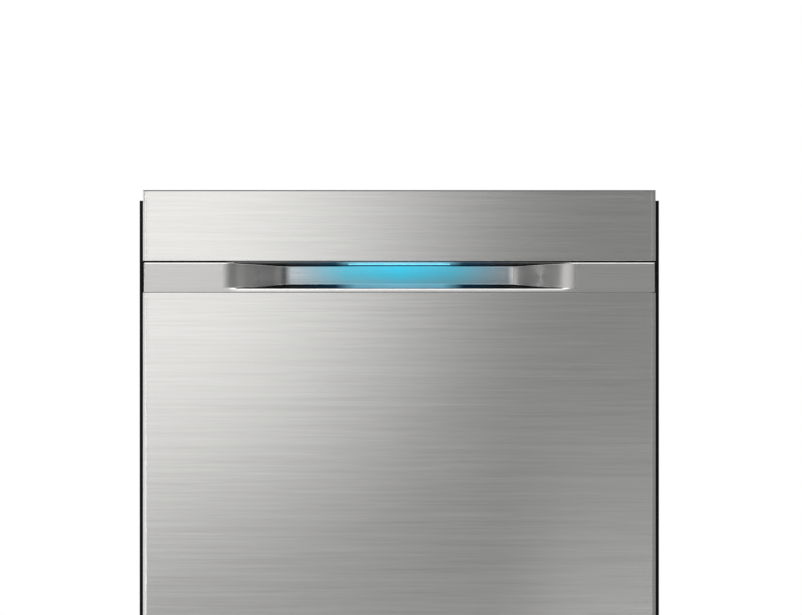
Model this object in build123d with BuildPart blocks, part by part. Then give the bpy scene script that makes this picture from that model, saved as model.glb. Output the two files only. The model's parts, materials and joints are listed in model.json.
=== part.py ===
from build123d import *
from math import cos, radians, sin, tan
import os

# Undercounter dishwasher with its door closed, standing on its levelling legs.
# X runs to the right seen from the front, Y to the back and Z up. All sizes are in millimetres,
# and the origin is on the floor under the middle of the machine.

os.makedirs("parts", exist_ok=True)

# Whole machine
frame_width = 606.0
overall_height = 860.0
overall_depth = 629.0
front_y = -overall_depth / 2
rear_y = overall_depth / 2

# Clearances
part_gap = 0.3
run_gap = 0.08
weld_gap = 0.1
slot_gap = 0.5

# Door
door_side_gap = 4.5
door_bottom = 112.0
sheet = 1.5
skin_return = 20.0
fascia_height = 82.0
band_gap = 1.5
band_height = 34.8
band_recess = 0.6
band_inset = 1.0
seam = 0.7
liner_set = 20.0
liner_plug = 17.0
plug_side = 10.0
plug_corner = 24.0
plug_bottom_rise = 18.0
plug_top_drop = 12.0

# Hinge
hinge_setback = 49.5
hinge_z = 100.0
pin_r = 5.0
eye_r = 11.0
arm_sheet = 3.0
arm_set = 19.0

# Handle pocket in the band
pocket_mouth = 406.0
pocket_floor = 276.0
pocket_depth = 28.0
pocket_lip = 4.8
pocket_brow = 0.6
pocket_draft = 4.0
lens_length = 118.0
lens_width = 9.0
lens_setback = 6.0

# Tub
tub_side_set = 28.0
tub_top_set = 24.0
tub_back_set = 28.5
tub_wall = 1.5
tub_corner = 20.0
tub_lip_set = 27.0
upstand = 16.0
basin_margin = 45.0
basin_drop = 15.0
basin_corner = 40.0
basin_slope = 35.0

# Front frame round the tub's mouth
frame_top_set = 12.0
frame_face_set = 4.5
frame_depth = 24.5
frame_bottom = 114.0
arm_notch_top = 174.0
gasket_width = 5.8
gasket_channel = 7.0

# Base
side_plate_set = 11.0
plate_sheet = 2.0
base_low = 22.0
base_rise = 88.0
bar_low = 30.0
bar_high = 66.0
bar_depth = 20.0
toe_setback = 60.0

# Legs
leg_side_set = 38.0
leg_rod_r = 5.0
leg_foot_r = 18.0
leg_foot_height = 8.0
leg_nut_r = 9.0
leg_travel = 25.0

# Sump and spray arms
hub_y = 20.0
sump_r = 60.0
filter_x = 98.0
filter_y = 62.0
filter_r = 48.0
sump_floor = 50.0
sump_wall = 3.0
journal_r = 10.0
collar_r = 16.0
arm_thick = 11.0
arm_bevel = 3.0
lower_arm_lift = 18.0
lower_arm_gap = 30.0
upper_arm_gap = 42.0
top_arm_r = 115.0

# Racks
wire = 4.0
tine_wire = 3.2
rack_front_gap = 19.0
lower_lift = 40.0
lower_height = 140.0
lower_side_gap = 23.0
lower_back_gap = 46.0
upper_drop = 366.0
upper_height = 130.0
upper_side_gap = 31.0
upper_back_gap = 36.0
wheel_r = 19.0
wheel_width = 11.0
axle_r = 3.0
tray_drop = 120.0
tray_height = 36.0
tray_side_gap = 23.0
tray_front_gap = 23.0
tray_back_gap = 46.0

# Sizes that follow from the ones above
hinge_y = front_y + hinge_setback
liner_face = hinge_y + liner_set
flange_y = liner_face - liner_plug
frame_face = hinge_y + frame_face_set
frame_rear = frame_face + frame_depth
track_z = hinge_z + liner_set
tub_front = hinge_y + tub_lip_set
tub_half = frame_width / 2 - tub_side_set
tub_width = 2 * tub_half
tub_top = overall_height - tub_top_set
tub_back_y = rear_y - tub_back_set
frame_top = overall_height - frame_top_set
arm_x = frame_width / 2 - arm_set
side_plate_x = frame_width / 2 - side_plate_set
leg_x = frame_width / 2 - leg_side_set
door_width = frame_width - 2 * door_side_gap
fascia_bottom = overall_height - fascia_height
band_top = fascia_bottom - band_gap
band_bottom = band_top - band_height
panel_top = band_bottom - seam
basin_z = track_z - basin_drop
lower_arm_z = track_z + lower_arm_lift
lower_base_z = track_z + lower_lift
lower_rim_z = lower_base_z + lower_height
lower_half = tub_half - lower_side_gap
lower_front = liner_face + rack_front_gap
lower_back = tub_back_y - lower_back_gap
upper_base_z = tub_top - upper_drop
upper_rim_z = upper_base_z + upper_height
upper_half = tub_half - upper_side_gap
upper_front = lower_front
upper_back = tub_back_y - upper_back_gap
tray_z = tub_top - tray_drop
tray_half = tub_half - tray_side_gap
tray_front = liner_face + tray_front_gap
tray_back = tub_back_y - tray_back_gap


def front_plane(y):
    # Local x is X and local y is Z; extruding forwards goes towards the front.
    return Plane(origin=(0, y, 0), x_dir=(1, 0, 0), z_dir=(0, -1, 0))


def side_plane(x):
    # Local x is Y and local y is Z; extruding goes towards +X.
    return Plane(origin=(x, 0, 0), x_dir=(0, 1, 0), z_dir=(1, 0, 0))


def level(z):
    return Plane.XY.offset(z)


def rods(plane, places, length, width=wire):
    # Coated wires, drawn four-sided, that stand on a plane at the given places.
    with BuildSketch(plane) as ends:
        with Locations(*places):
            Rectangle(width, width)
    extrude(ends.sketch, amount=length)


def disc(plane, place, radius, length):
    with BuildSketch(plane) as end:
        with Locations(place):
            Circle(radius)
    extrude(end.sketch, amount=length)


def bore(plane, place, radius, length):
    with BuildSketch(plane) as end:
        with Locations(place):
            Circle(radius)
    extrude(end.sketch, amount=length, mode=Mode.SUBTRACT)


def block(x0, x1, y0, y1, z0, z1, mode=Mode.ADD):
    with BuildSketch(level(z0)) as foot:
        with Locations(((x0 + x1) / 2, (y0 + y1) / 2)):
            Rectangle(abs(x1 - x0), abs(y1 - y0))
    extrude(foot.sketch, amount=z1 - z0, mode=mode)


def spread(low, high, count):
    return [low + (high - low) * i / (count - 1) for i in range(count)]


def finish(piece, name):
    piece.part.label = name
    export_step(piece.part, f"parts/{name}.step")


# The tub's wrap: one sheet that makes both sides and the top
with BuildPart() as tub_wrap:
    with BuildSketch(front_plane(tub_back_y)):
        with BuildLine():
            FilletPolyline(
                (-tub_half - tub_wall / 2, track_z - tub_wall),
                (-tub_half - tub_wall / 2, tub_top + tub_wall / 2),
                (tub_half + tub_wall / 2, tub_top + tub_wall / 2),
                (tub_half + tub_wall / 2, track_z - tub_wall),
                radius=tub_corner + tub_wall / 2,
            )
        trace(line_width=tub_wall)
    extrude(amount=tub_back_y - frame_face)
finish(tub_wrap, "tub_wrap")

# The tub's back, with two pressed stiffening ribs either side of the feed tube
with BuildPart() as tub_back:
    with BuildSketch(front_plane(tub_back_y + tub_wall)):
        with Locations((0, (track_z + tub_top) / 2)):
            Rectangle(tub_width + 2 * tub_wall, tub_top - track_z + 2 * tub_wall)
        fillet(vertices().group_by(Axis.Y)[-1], radius=tub_corner + tub_wall)
    extrude(amount=tub_wall)
    back_rib_depth = 4.0
    with BuildSketch(front_plane(tub_back_y + tub_wall)) as back_ribs:
        with Locations((-tub_half / 2, (track_z + tub_top) / 2), (tub_half / 2, (track_z + tub_top) / 2)):
            SlotOverall(0.7 * (tub_top - track_z), 40, rotation=90)
    extrude(back_ribs.sketch, amount=-back_rib_depth, taper=30)
    with BuildSketch(front_plane(tub_back_y)) as rib_hollows:
        with Locations((-tub_half / 2, (track_z + tub_top) / 2), (tub_half / 2, (track_z + tub_top) / 2)):
            SlotOverall(0.7 * (tub_top - track_z) - 2 * tub_wall, 40 - 2 * tub_wall, rotation=90)
    extrude(rib_hollows.sketch, amount=-back_rib_depth, taper=30, mode=Mode.SUBTRACT)
finish(tub_back, "tub_back")

# The tub's floor: side ledges that the rack's wheels run on, and a basin that drains to the sump
floor_depth = tub_back_y - tub_front
floor_mid = (tub_back_y + tub_front) / 2
basin_width = tub_width - 2 * basin_margin
basin_depth = floor_depth - basin_margin
feed_y = tub_back_y - 54.0
feed_spigot_r = 11.0
float_x = 85.0 - tub_half
float_y = tub_front + 70.0
float_stem_r = 6.0


def sump_outline(z, grow=0.0):
    with BuildSketch(level(z)) as outline:
        with Locations((0, hub_y)):
            Circle(sump_r + grow)
        with Locations((filter_x, filter_y)):
            Circle(filter_r + grow)
        make_hull()
    return outline.sketch


with BuildPart() as tub_floor:
    with BuildSketch(level(track_z)):
        with Locations((0, floor_mid)):
            Rectangle(tub_width, floor_depth)
    extrude(amount=-tub_wall)
    with BuildSketch(level(track_z)):
        with Locations((0, floor_mid)):
            RectangleRounded(basin_width + 2 * tub_wall, basin_depth + 2 * tub_wall, basin_corner)
    extrude(amount=-basin_drop - tub_wall, taper=basin_slope)
    with BuildSketch(level(track_z)):
        with Locations((0, floor_mid)):
            RectangleRounded(basin_width, basin_depth, basin_corner - tub_wall)
    extrude(amount=-basin_drop, taper=basin_slope, mode=Mode.SUBTRACT)
    for side in (-1, 1):
        block(side * tub_half, side * (tub_half - tub_wall), tub_front, tub_back_y, track_z, track_z + upstand)
    block(-tub_half, tub_half, tub_back_y - tub_wall, tub_back_y, track_z, track_z + upstand)
    extrude(sump_outline(basin_z, -sump_wall), amount=-tub_wall, mode=Mode.SUBTRACT)
    bore(level(basin_z), (0, feed_y), feed_spigot_r + part_gap, -tub_wall)
    bore(level(basin_z), (float_x, float_y), float_stem_r + slot_gap, -tub_wall)
finish(tub_floor, "tub_floor")

# Black frame round the tub's mouth: two posts and a top bar, with a channel for the gasket
frame_half = frame_width / 2
wrap_half = tub_half + tub_wall
wrap_top = tub_top + tub_wall
gasket_x = (wrap_half + arm_x + arm_sheet + 2) / 2 + 1.0
gasket_z = (wrap_top + frame_top) / 2
arm_notch_x = arm_x + arm_sheet + 4.5


def frame_strip(y, low, width, amount, mode=Mode.ADD):
    with BuildSketch(front_plane(y)) as strip:
        with BuildLine():
            FilletPolyline(
                (-gasket_x, low),
                (-gasket_x, gasket_z),
                (gasket_x, gasket_z),
                (gasket_x, low),
                radius=tub_corner,
            )
        trace(line_width=width)
    extrude(strip.sketch, amount=amount, mode=mode)


with BuildPart() as front_frame:
    with BuildSketch(front_plane(frame_rear)):
        with Locations((0, (frame_bottom + frame_top) / 2)):
            Rectangle(frame_width, frame_top - frame_bottom)
        fillet(vertices().group_by(Axis.Y)[-1], radius=4)
    extrude(amount=frame_depth)
    with BuildSketch(front_plane(frame_rear)) as mouth:
        with Locations((0, (frame_bottom + wrap_top) / 2)):
            Rectangle(2 * wrap_half, wrap_top - frame_bottom)
        fillet(vertices().group_by(Axis.Y)[-1], radius=tub_corner + tub_wall)
    extrude(mouth.sketch, amount=frame_depth, mode=Mode.SUBTRACT)
    for side in (-1, 1):
        block(
            side * wrap_half, side * arm_notch_x, frame_rear + 1, frame_face - 1,
            frame_bottom, arm_notch_top, Mode.SUBTRACT,
        )
    frame_strip(frame_face, arm_notch_top + 2, gasket_width, -gasket_channel, Mode.SUBTRACT)
finish(front_frame, "front_frame")

# Door gasket, seated in the frame's channel
gasket_nose = 0.8
with BuildPart() as door_gasket:
    frame_strip(
        frame_face + gasket_channel, arm_notch_top + 2, gasket_width,
        gasket_channel + (frame_face - flange_y) - part_gap,
    )
    chamfer(door_gasket.faces().sort_by(Axis.Y)[0].edges(), length=gasket_nose)
finish(door_gasket, "door_gasket")

# Rubber strip along the tub's front edge, under the closed door
seal_thick = 2.4
seal_low = track_z - 14
seal_high = track_z + 1
with BuildPart() as bottom_seal:
    with BuildSketch(side_plane(-tub_half + tub_wall)):
        with BuildLine():
            Polyline(
                (tub_front, seal_low),
                (tub_front, seal_high),
                (tub_front - seal_thick / 2, seal_high),
                (tub_front - seal_thick, seal_high - 3),
                (tub_front - seal_thick, seal_low),
                close=True,
            )
        make_face()
    extrude(amount=tub_width - 2 * tub_wall)
finish(bottom_seal, "bottom_seal")

# Sound blanket over the tub's sides and top, cut out for the air break
blanket = 9.0
blanket_low = 214.0
air_break_y0 = 10.0
air_break_y1 = 190.0
air_break_z0 = 330.0
air_break_z1 = 640.0
with BuildPart() as insulation_blanket:
    with BuildSketch(front_plane(tub_back_y - 2)):
        with BuildLine():
            FilletPolyline(
                (-wrap_half - blanket / 2, blanket_low),
                (-wrap_half - blanket / 2, wrap_top + blanket / 2),
                (wrap_half + blanket / 2, wrap_top + blanket / 2),
                (wrap_half + blanket / 2, blanket_low),
                radius=tub_corner + tub_wall + blanket / 2,
            )
        trace(line_width=blanket)
    extrude(amount=tub_back_y - 2 - frame_rear)
    block(
        -wrap_half, -wrap_half - blanket - 1, air_break_y0 - 2, air_break_y1 + 2,
        air_break_z0 - 2, air_break_z1 + 2, Mode.SUBTRACT,
    )
finish(insulation_blanket, "insulation_blanket")

# Air break on the left side of the tub: a flat moulded chamber with ribs
air_break_thick = 18.0
with BuildPart() as air_break:
    with BuildSketch(side_plane(-wrap_half)):
        with Locations(((air_break_y0 + air_break_y1) / 2, (air_break_z0 + air_break_z1) / 2)):
            RectangleRounded(air_break_y1 - air_break_y0, air_break_z1 - air_break_z0, 18)
    extrude(amount=-air_break_thick)
    chamfer(air_break.faces().sort_by(Axis.X)[0].edges(), length=3)
    channel_width = 22.0
    with BuildSketch(side_plane(-wrap_half - air_break_thick)):
        with GridLocations((air_break_y1 - air_break_y0) / 4, 0, 3, 1):
            with Locations(((air_break_y0 + air_break_y1) / 2, (air_break_z0 + air_break_z1) / 2)):
                Rectangle(channel_width, 0.8 * (air_break_z1 - air_break_z0))
    extrude(amount=5, mode=Mode.SUBTRACT)
finish(air_break, "air_break")


# Base: two side plates with hinge noses and windows, and a front and a rear channel with the legs' bores
plate_top = base_low + base_rise
shelf_y = -40.0
shelf_in = 30.0
toe_rear = front_y + toe_setback
leg_front_y = toe_rear + bar_depth / 2
leg_rear_y = rear_y - leg_foot_r
leg_places = [
    ("leg_front_left", -leg_x, leg_front_y),
    ("leg_front_right", leg_x, leg_front_y),
    ("leg_rear_left", -leg_x, leg_rear_y),
    ("leg_rear_right", leg_x, leg_rear_y),
]
toe_y = toe_rear - sheet
spring_anchor_y = hinge_y + 205.0
spring_anchor_z = hinge_z - 64.0
anchor_pin_r = 3.0
window_long = 80.0
window_high = 30.0
window_corner = 6.0
window_y0 = shelf_y + 45.0
window_pitch = 100.0
window_count = 3
with BuildPart() as base_frame:
    for side in (-1, 1):
        plate_in = side * side_plate_x
        plate_out = side * (side_plate_x + plate_sheet)
        block(plate_in, plate_out, tub_front - 12, rear_y, base_low, plate_top)
        block(plate_in, plate_out, hinge_y, tub_front, hinge_z - eye_r, hinge_z + eye_r)
        disc(side_plane(plate_in), (hinge_y, hinge_z), eye_r, side * plate_sheet)
        block(plate_in, plate_out, shelf_y, rear_y, plate_top, track_z - tub_wall)
        block(
            plate_out, side * (tub_half - shelf_in), shelf_y, rear_y,
            track_z - tub_wall - plate_sheet, track_z - tub_wall,
        )
        disc(side_plane(side * (arm_x - 3)), (hinge_y, hinge_z), pin_r, plate_in - side * (arm_x - 3))
        disc(
            side_plane(side * (arm_x - 3)), (spring_anchor_y, spring_anchor_z), anchor_pin_r,
            plate_in - side * (arm_x - 3),
        )
        for i in range(window_count):
            with BuildSketch(side_plane(plate_in)) as window:
                with Locations((window_y0 + i * window_pitch, (base_low + plate_top) / 2)):
                    RectangleRounded(window_long, window_high, window_corner)
            extrude(window.sketch, amount=side * plate_sheet, mode=Mode.SUBTRACT)
    for bar_y in (leg_front_y, leg_rear_y):
        inward = 1 if bar_y < 0 else -1
        with BuildSketch(side_plane(weld_gap - side_plate_x)) as channel:
            with Locations((bar_y, (bar_low + bar_high) / 2)):
                Rectangle(bar_depth, bar_high - bar_low)
            with Locations((bar_y + inward * plate_sheet, (bar_low + bar_high) / 2)):
                Rectangle(bar_depth, bar_high - bar_low - 2 * plate_sheet, mode=Mode.SUBTRACT)
        extrude(channel.sketch, amount=2 * (side_plate_x - weld_gap))
    for name, x, y in leg_places:
        bore(level(bar_low - 1), (x, y), leg_rod_r + run_gap, bar_high - bar_low + 2)
finish(base_frame, "base_frame")

# Levelling legs, each a foot, a nut and a threaded rod
leg_rod_top = bar_high + leg_travel + 1
leg_sides = 16
leg_bevel = 2.5
for name, x, y in leg_places:
    with BuildPart() as leg:
        with BuildSketch(level(0)):
            with Locations((x, y)):
                RegularPolygon(leg_foot_r, leg_sides)
        extrude(amount=leg_foot_height)
        chamfer(leg.faces().sort_by(Axis.Z)[-1].edges(), length=leg_bevel)
        with BuildSketch(level(leg_foot_height)):
            with Locations((x, y)):
                RegularPolygon(leg_nut_r, 6)
        extrude(amount=bar_low - part_gap - leg_foot_height)
        with BuildSketch(level(bar_low - part_gap)):
            with Locations((x, y)):
                RegularPolygon(leg_rod_r, leg_sides)
        extrude(amount=leg_rod_top - bar_low + part_gap)
    finish(leg, name)

# Kick plate under the door, with turned-back ends
toe_low = 10.0
toe_high = hinge_z - eye_r - 3
toe_half = side_plate_x - 4
vent_long = 34.0
vent_high = 6.0
vent_count = 9
with BuildPart() as toe_kick:
    block(-toe_half, toe_half, toe_y, toe_y + sheet, toe_low, toe_high)
    with BuildSketch(front_plane(toe_y + sheet)) as vents:
        with Locations((0, (toe_low + toe_high) / 2)):
            with GridLocations(2 * toe_half / (vent_count + 2), 0, vent_count, 1):
                Rectangle(vent_long, vent_high)
    extrude(vents.sketch, amount=sheet, mode=Mode.SUBTRACT)
finish(toe_kick, "toe_kick")

# Two tabs that screw to the underside of the worktop
bracket_x = 200.0
bracket_width = 36.0
bracket_top = overall_height - 2.0
bracket_hole_r = 2.5
with BuildPart() as worktop_brackets:
    for side in (-1, 1):
        with BuildSketch(side_plane(side * bracket_x - bracket_width / 2)) as fold:
            with BuildLine():
                Polyline(
                    (frame_face + 3, frame_top + sheet / 2),
                    (frame_rear - 4, frame_top + sheet / 2),
                    (frame_rear - 4, bracket_top - sheet / 2),
                    (frame_rear + 22, bracket_top - sheet / 2),
                )
            trace(line_width=sheet)
        extrude(fold.sketch, amount=bracket_width)
        bore(level(bracket_top - sheet), (side * bracket_x, frame_rear + 10), bracket_hole_r, sheet)
finish(worktop_brackets, "worktop_brackets")

# Strike on the frame's top bar, a tongue with a window for the latch
strike_half = 14.0
strike_reach = 19.0
strike_sheet = 2.0
with BuildPart() as strike_plate:
    block(
        -strike_half, strike_half, frame_face - strike_reach, frame_rear - 2,
        frame_top, frame_top + strike_sheet,
    )
    block(
        -8, 8, frame_face - strike_reach + 6, frame_face - strike_reach + 14,
        frame_top, frame_top + strike_sheet, Mode.SUBTRACT,
    )
    fillet(strike_plate.edges().filter_by(Axis.Z).group_by(Axis.Y)[0], radius=4)
finish(strike_plate, "strike_plate")

# Sump: a bowl under the basin, with the post that carries the lower spray arm
sump_top = basin_z - tub_wall
post_top = track_z - 2
sump_flange = 6.0
stub_r = 11.0
stub_wall = 2.5
stub_z = sump_floor + 18
pump_face_x = -sump_r - 18
drain_face_x = filter_x + filter_r + 8
with BuildPart() as sump:
    extrude(sump_outline(sump_top), amount=sump_floor - sump_top)
    extrude(
        sump_outline(sump_top, -sump_wall),
        amount=sump_floor + sump_wall - sump_top, mode=Mode.SUBTRACT,
    )
    extrude(sump_outline(sump_top, sump_flange), amount=-sump_wall)
    extrude(sump_outline(sump_top, -sump_wall), amount=-sump_wall, mode=Mode.SUBTRACT)
    disc(side_plane(pump_face_x), (hub_y, stub_z), stub_r, -sump_r + 1 - pump_face_x)
    disc(side_plane(drain_face_x), (filter_y, stub_z), stub_r, filter_x + filter_r - 1 - drain_face_x)
    bore(side_plane(pump_face_x), (hub_y, stub_z), stub_r - stub_wall, -sump_r + sump_wall + 1 - pump_face_x)
    bore(
        side_plane(drain_face_x), (filter_y, stub_z), stub_r - stub_wall,
        filter_x + filter_r - sump_wall - 1 - drain_face_x,
    )
    disc(level(sump_floor), (0, hub_y), journal_r + 4, post_top - sump_floor)
    disc(level(post_top), (0, hub_y), journal_r, lower_arm_z + arm_thick / 2 - post_top)
finish(sump, "sump")

# Filter plate over the sump, with rows of slots, and the cup that twists out of it
cup_r = 34.0
cup_rim = 4.0
cup_wall = 2.0
cup_floor = sump_floor + sump_wall + 4
plate_thick = 1.5
filter_lap = 10.0
rim_thick = 3.0
with BuildPart() as filter_plate:
    extrude(sump_outline(basin_z, filter_lap), amount=plate_thick)
    bore(level(basin_z), (0, hub_y), journal_r + 4 + part_gap, plate_thick)
    bore(level(basin_z), (filter_x, filter_y), cup_r + slot_gap, plate_thick)
    with BuildSketch(level(basin_z)) as slots:
        with Locations((0, hub_y)):
            for ring_r, count in ((28, 8), (42, 12)):
                with PolarLocations(ring_r, count):
                    Rectangle(9, 3)
        with Locations((filter_x, filter_y)):
            Circle(cup_r + 6, mode=Mode.SUBTRACT)
    extrude(slots.sketch, amount=plate_thick, mode=Mode.SUBTRACT)
finish(filter_plate, "filter_plate")

with BuildPart() as filter_cup:
    disc(level(cup_floor), (filter_x, filter_y), cup_r, basin_z + plate_thick + part_gap - cup_floor)
    disc(level(basin_z + plate_thick + part_gap), (filter_x, filter_y), cup_r + cup_rim, rim_thick)
    bore(level(cup_floor + cup_wall), (filter_x, filter_y), cup_r - cup_wall, 200)
    with BuildSketch(level(basin_z + plate_thick + part_gap)) as grip:
        with Locations((filter_x, filter_y)):
            Rectangle(2 * (cup_r - cup_wall / 2), 5)
    extrude(grip.sketch, amount=rim_thick + 8)
finish(filter_cup, "filter_cup")

# Wash pump: a volute against the sump's side outlet, and its motor
volute_r = 34.0
volute_wall = 3.0
volute_depth = 28.0
motor_r = 32.0
motor_length = 96.0
shaft_r = 3.0
with BuildPart() as wash_motor:
    disc(side_plane(pump_face_x), (hub_y, stub_z), volute_r, -volute_depth)
    bore(
        side_plane(pump_face_x - volute_wall), (hub_y, stub_z), volute_r - volute_wall,
        -(volute_depth - 2 * volute_wall),
    )
    bore(side_plane(pump_face_x), (hub_y, stub_z), stub_r - stub_wall, -volute_wall)
    disc(side_plane(pump_face_x - volute_depth), (hub_y, stub_z), motor_r, -motor_length)
    bore(side_plane(pump_face_x - volute_depth + volute_wall), (hub_y, stub_z), shaft_r + run_gap, -40)
    disc(side_plane(pump_face_x - volute_depth - motor_length), (hub_y, stub_z), motor_r / 2, -8)
finish(wash_motor, "wash_motor")

impeller_r = 27.0
with BuildPart() as wash_impeller:
    back_x = pump_face_x - volute_depth + volute_wall + 2
    disc(side_plane(back_x - 36), (hub_y, stub_z), shaft_r, 36)
    disc(side_plane(back_x), (hub_y, stub_z), impeller_r, 2.5)
    disc(side_plane(back_x), (hub_y, stub_z), shaft_r + 4, 10)
    with BuildSketch(side_plane(back_x)) as vanes:
        with Locations((hub_y, stub_z)):
            with PolarLocations(impeller_r * 0.62, 6):
                Rectangle(impeller_r * 0.62, 2, rotation=35)
    extrude(vanes.sketch, amount=13)
finish(wash_impeller, "wash_impeller")

# Drain pump on the filter's side of the sump, with its outlet spigot to the back
drain_r = 21.0
drain_depth = 20.0
drain_wall = 2.5
drain_motor_r = 22.0
drain_motor_length = 46.0
spigot_r = 9.5
spigot_neck_r = 9.8
spigot_root = 88.0
spigot_end = 120.0
spigot_bore = 7.0
with BuildPart() as drain_pump:
    disc(side_plane(drain_face_x), (filter_y, stub_z), drain_r, drain_depth)
    spigot_x = drain_face_x + drain_depth / 2
    spigot_z = stub_z + drain_r - drain_depth / 2
    disc(front_plane(spigot_root), (spigot_x, spigot_z), spigot_neck_r, spigot_root - filter_y)
    disc(front_plane(spigot_end), (spigot_x, spigot_z), spigot_r, spigot_end - spigot_root)
    bore(front_plane(spigot_end), (spigot_x, spigot_z), spigot_bore, spigot_end - filter_y)
    bore(
        side_plane(drain_face_x + drain_wall), (filter_y, stub_z), drain_r - drain_wall,
        drain_depth - 2 * drain_wall,
    )
    bore(side_plane(drain_face_x), (filter_y, stub_z), stub_r - stub_wall, drain_wall)
    disc(side_plane(drain_face_x + drain_depth), (filter_y, stub_z), drain_motor_r, drain_motor_length)
    bore(side_plane(drain_face_x + drain_depth - drain_wall), (filter_y, stub_z), shaft_r / 2 + run_gap, 22)
finish(drain_pump, "drain_pump")

drain_impeller_r = 14.0
with BuildPart() as drain_impeller:
    drain_back = drain_face_x + drain_depth - drain_wall - 1.5
    disc(side_plane(drain_back - 9), (filter_y, stub_z), 5, 9)
    disc(side_plane(drain_back), (filter_y, stub_z), shaft_r / 2, 20)
    with BuildSketch(side_plane(drain_back - 9)) as drain_vanes:
        with Locations((filter_y, stub_z)):
            with PolarLocations(drain_impeller_r / 2, 4):
                Rectangle(drain_impeller_r, 2)
    extrude(drain_vanes.sketch, amount=9)
finish(drain_impeller, "drain_impeller")

# Flow-through heater from the wash pump, and its bend to the feed tube
heater_r = 16.0
heater_x = pump_face_x - volute_depth / 2
heater_z = 80.0
heater_y0 = hub_y + volute_r
heater_y1 = feed_y - 46.0
duct_r = 8.0
duct_sides = 8
bend_r = 24.0
feed_low = 72.0
with BuildPart() as water_heater:
    disc(front_plane(heater_y1), (heater_x, heater_z), heater_r, heater_y1 - heater_y0 - part_gap)
    with BuildLine() as bend:
        FilletPolyline(
            (heater_x, heater_y1, heater_z),
            (heater_x, feed_y, heater_z),
            (-feed_spigot_r - part_gap, feed_y, heater_z),
            radius=bend_r,
        )
    with BuildSketch(Plane(origin=(heater_x, heater_y1, heater_z), z_dir=(0, 1, 0))):
        RegularPolygon(duct_r, duct_sides)
    sweep(path=bend.line)
    for terminal_x in (-6, 6):
        disc(
            side_plane(heater_x - heater_r - 6), (heater_y0 + 30 + 2 * terminal_x, heater_z), 2.5,
            heater_r - 6 + 6,
        )
finish(water_heater, "water_heater")

# Feed tube: from under the basin, up the tub's back and along its ceiling to the top spray arm
feed_half = 15.0
feed_thick = 14.0
feed_foot = track_z + 1
feed_front_y = tub_back_y - feed_thick
lower_arm_r = feed_front_y - hub_y - lower_arm_gap
upper_arm_r = feed_front_y - hub_y - upper_arm_gap
feed_top = tub_top - 12
top_journal = 20.0
nut_r = 14.0
nut_thick = 3.5
dock_r = 13.0
dock_z = upper_base_z - 7.0
dock_y = upper_back + 10.0
with BuildPart() as feed_tube:
    with BuildSketch(side_plane(-feed_half)):
        with BuildLine():
            Polyline(
                (feed_y - feed_spigot_r - 2, feed_foot),
                (tub_back_y - tub_wall, feed_foot),
                (tub_back_y - tub_wall, feed_top),
                (hub_y - feed_half, feed_top),
                (hub_y - feed_half, feed_top - feed_thick),
                (feed_front_y, feed_top - feed_thick),
                (feed_front_y, feed_foot + feed_thick),
                (feed_y - feed_spigot_r - 2, feed_foot + feed_thick),
                close=True,
            )
        make_face()
    extrude(amount=2 * feed_half)
    disc(level(feed_low), (0, feed_y), feed_spigot_r, feed_foot + 1 - feed_low)
    disc(level(feed_top - feed_thick), (0, hub_y), journal_r, -top_journal)
    disc(level(feed_top - feed_thick - top_journal - weld_gap), (0, hub_y), nut_r, -nut_thick)
    disc(front_plane(feed_front_y + 1), (0, dock_z), dock_r, feed_front_y + 1 - dock_y)
finish(feed_tube, "feed_tube")

# Water inlet valve at the left rear, with its threaded port to the back
valve_x = 78.0 - frame_width / 2
valve_z = 90.0
valve_y0 = tub_back_y - 40.0
valve_y1 = tub_back_y - 2.0
port_r = 13.2
port_length = 22.0
port_bore = 8.0
with BuildPart() as inlet_valve:
    block(valve_x - 17, valve_x + 17, valve_y0, valve_y1, valve_z - 14, valve_z + 12)
    disc(front_plane(valve_y1 + port_length), (valve_x, valve_z), port_r, port_length)
    bore(front_plane(valve_y1 + port_length), (valve_x, valve_z), port_bore, port_length + 8)
    disc(level(valve_z - 14), (valve_x, (valve_y0 + valve_y1) / 2), 12, -30)
    block(-side_plate_x, valve_x - 17, valve_y0 + 6, valve_y0 + 18, valve_z - 8, valve_z + 8)
finish(inlet_valve, "inlet_valve")

# Junction box behind the front bar, with a knock-out in its floor for the supply cable
box_x1 = leg_x - 19.0
box_x0 = box_x1 - 66.0
box_y0 = leg_front_y + bar_depth / 2
box_y1 = box_y0 + 50
box_z0 = 34.0
box_z1 = 74.0
knock_out_r = 11.0
with BuildPart() as junction_box:
    block(box_x0, box_x1, box_y0, box_y1, box_z0, box_z1)
    block(
        box_x0 + sheet, box_x1 - sheet, box_y0 + sheet, box_y1 - sheet,
        box_z0 + sheet, box_z1 - sheet, Mode.SUBTRACT,
    )
    bore(level(box_z0), ((box_x0 + box_x1) / 2, (box_y0 + box_y1) / 2), knock_out_r, sheet)
finish(junction_box, "junction_box")

# Float of the overfill switch: a cap over the basin on a stem that rises with the water
float_travel = 8.0
float_r = 21.0
float_low = basin_z + 12
float_skirt = 12.0
float_crown = 5.0
float_sides = 24
with BuildPart() as float_cap:
    disc(level(basin_z - 16), (float_x, float_y), float_stem_r, float_low - basin_z + 17)
    with BuildSketch(level(float_low)) as float_ring:
        with Locations((float_x, float_y)):
            RegularPolygon(float_r, float_sides)
    extrude(float_ring.sketch, amount=float_skirt + float_crown)
    chamfer(float_cap.faces().sort_by(Axis.Z)[-1].edges(), length=float_crown)
finish(float_cap, "float_cap")

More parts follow.
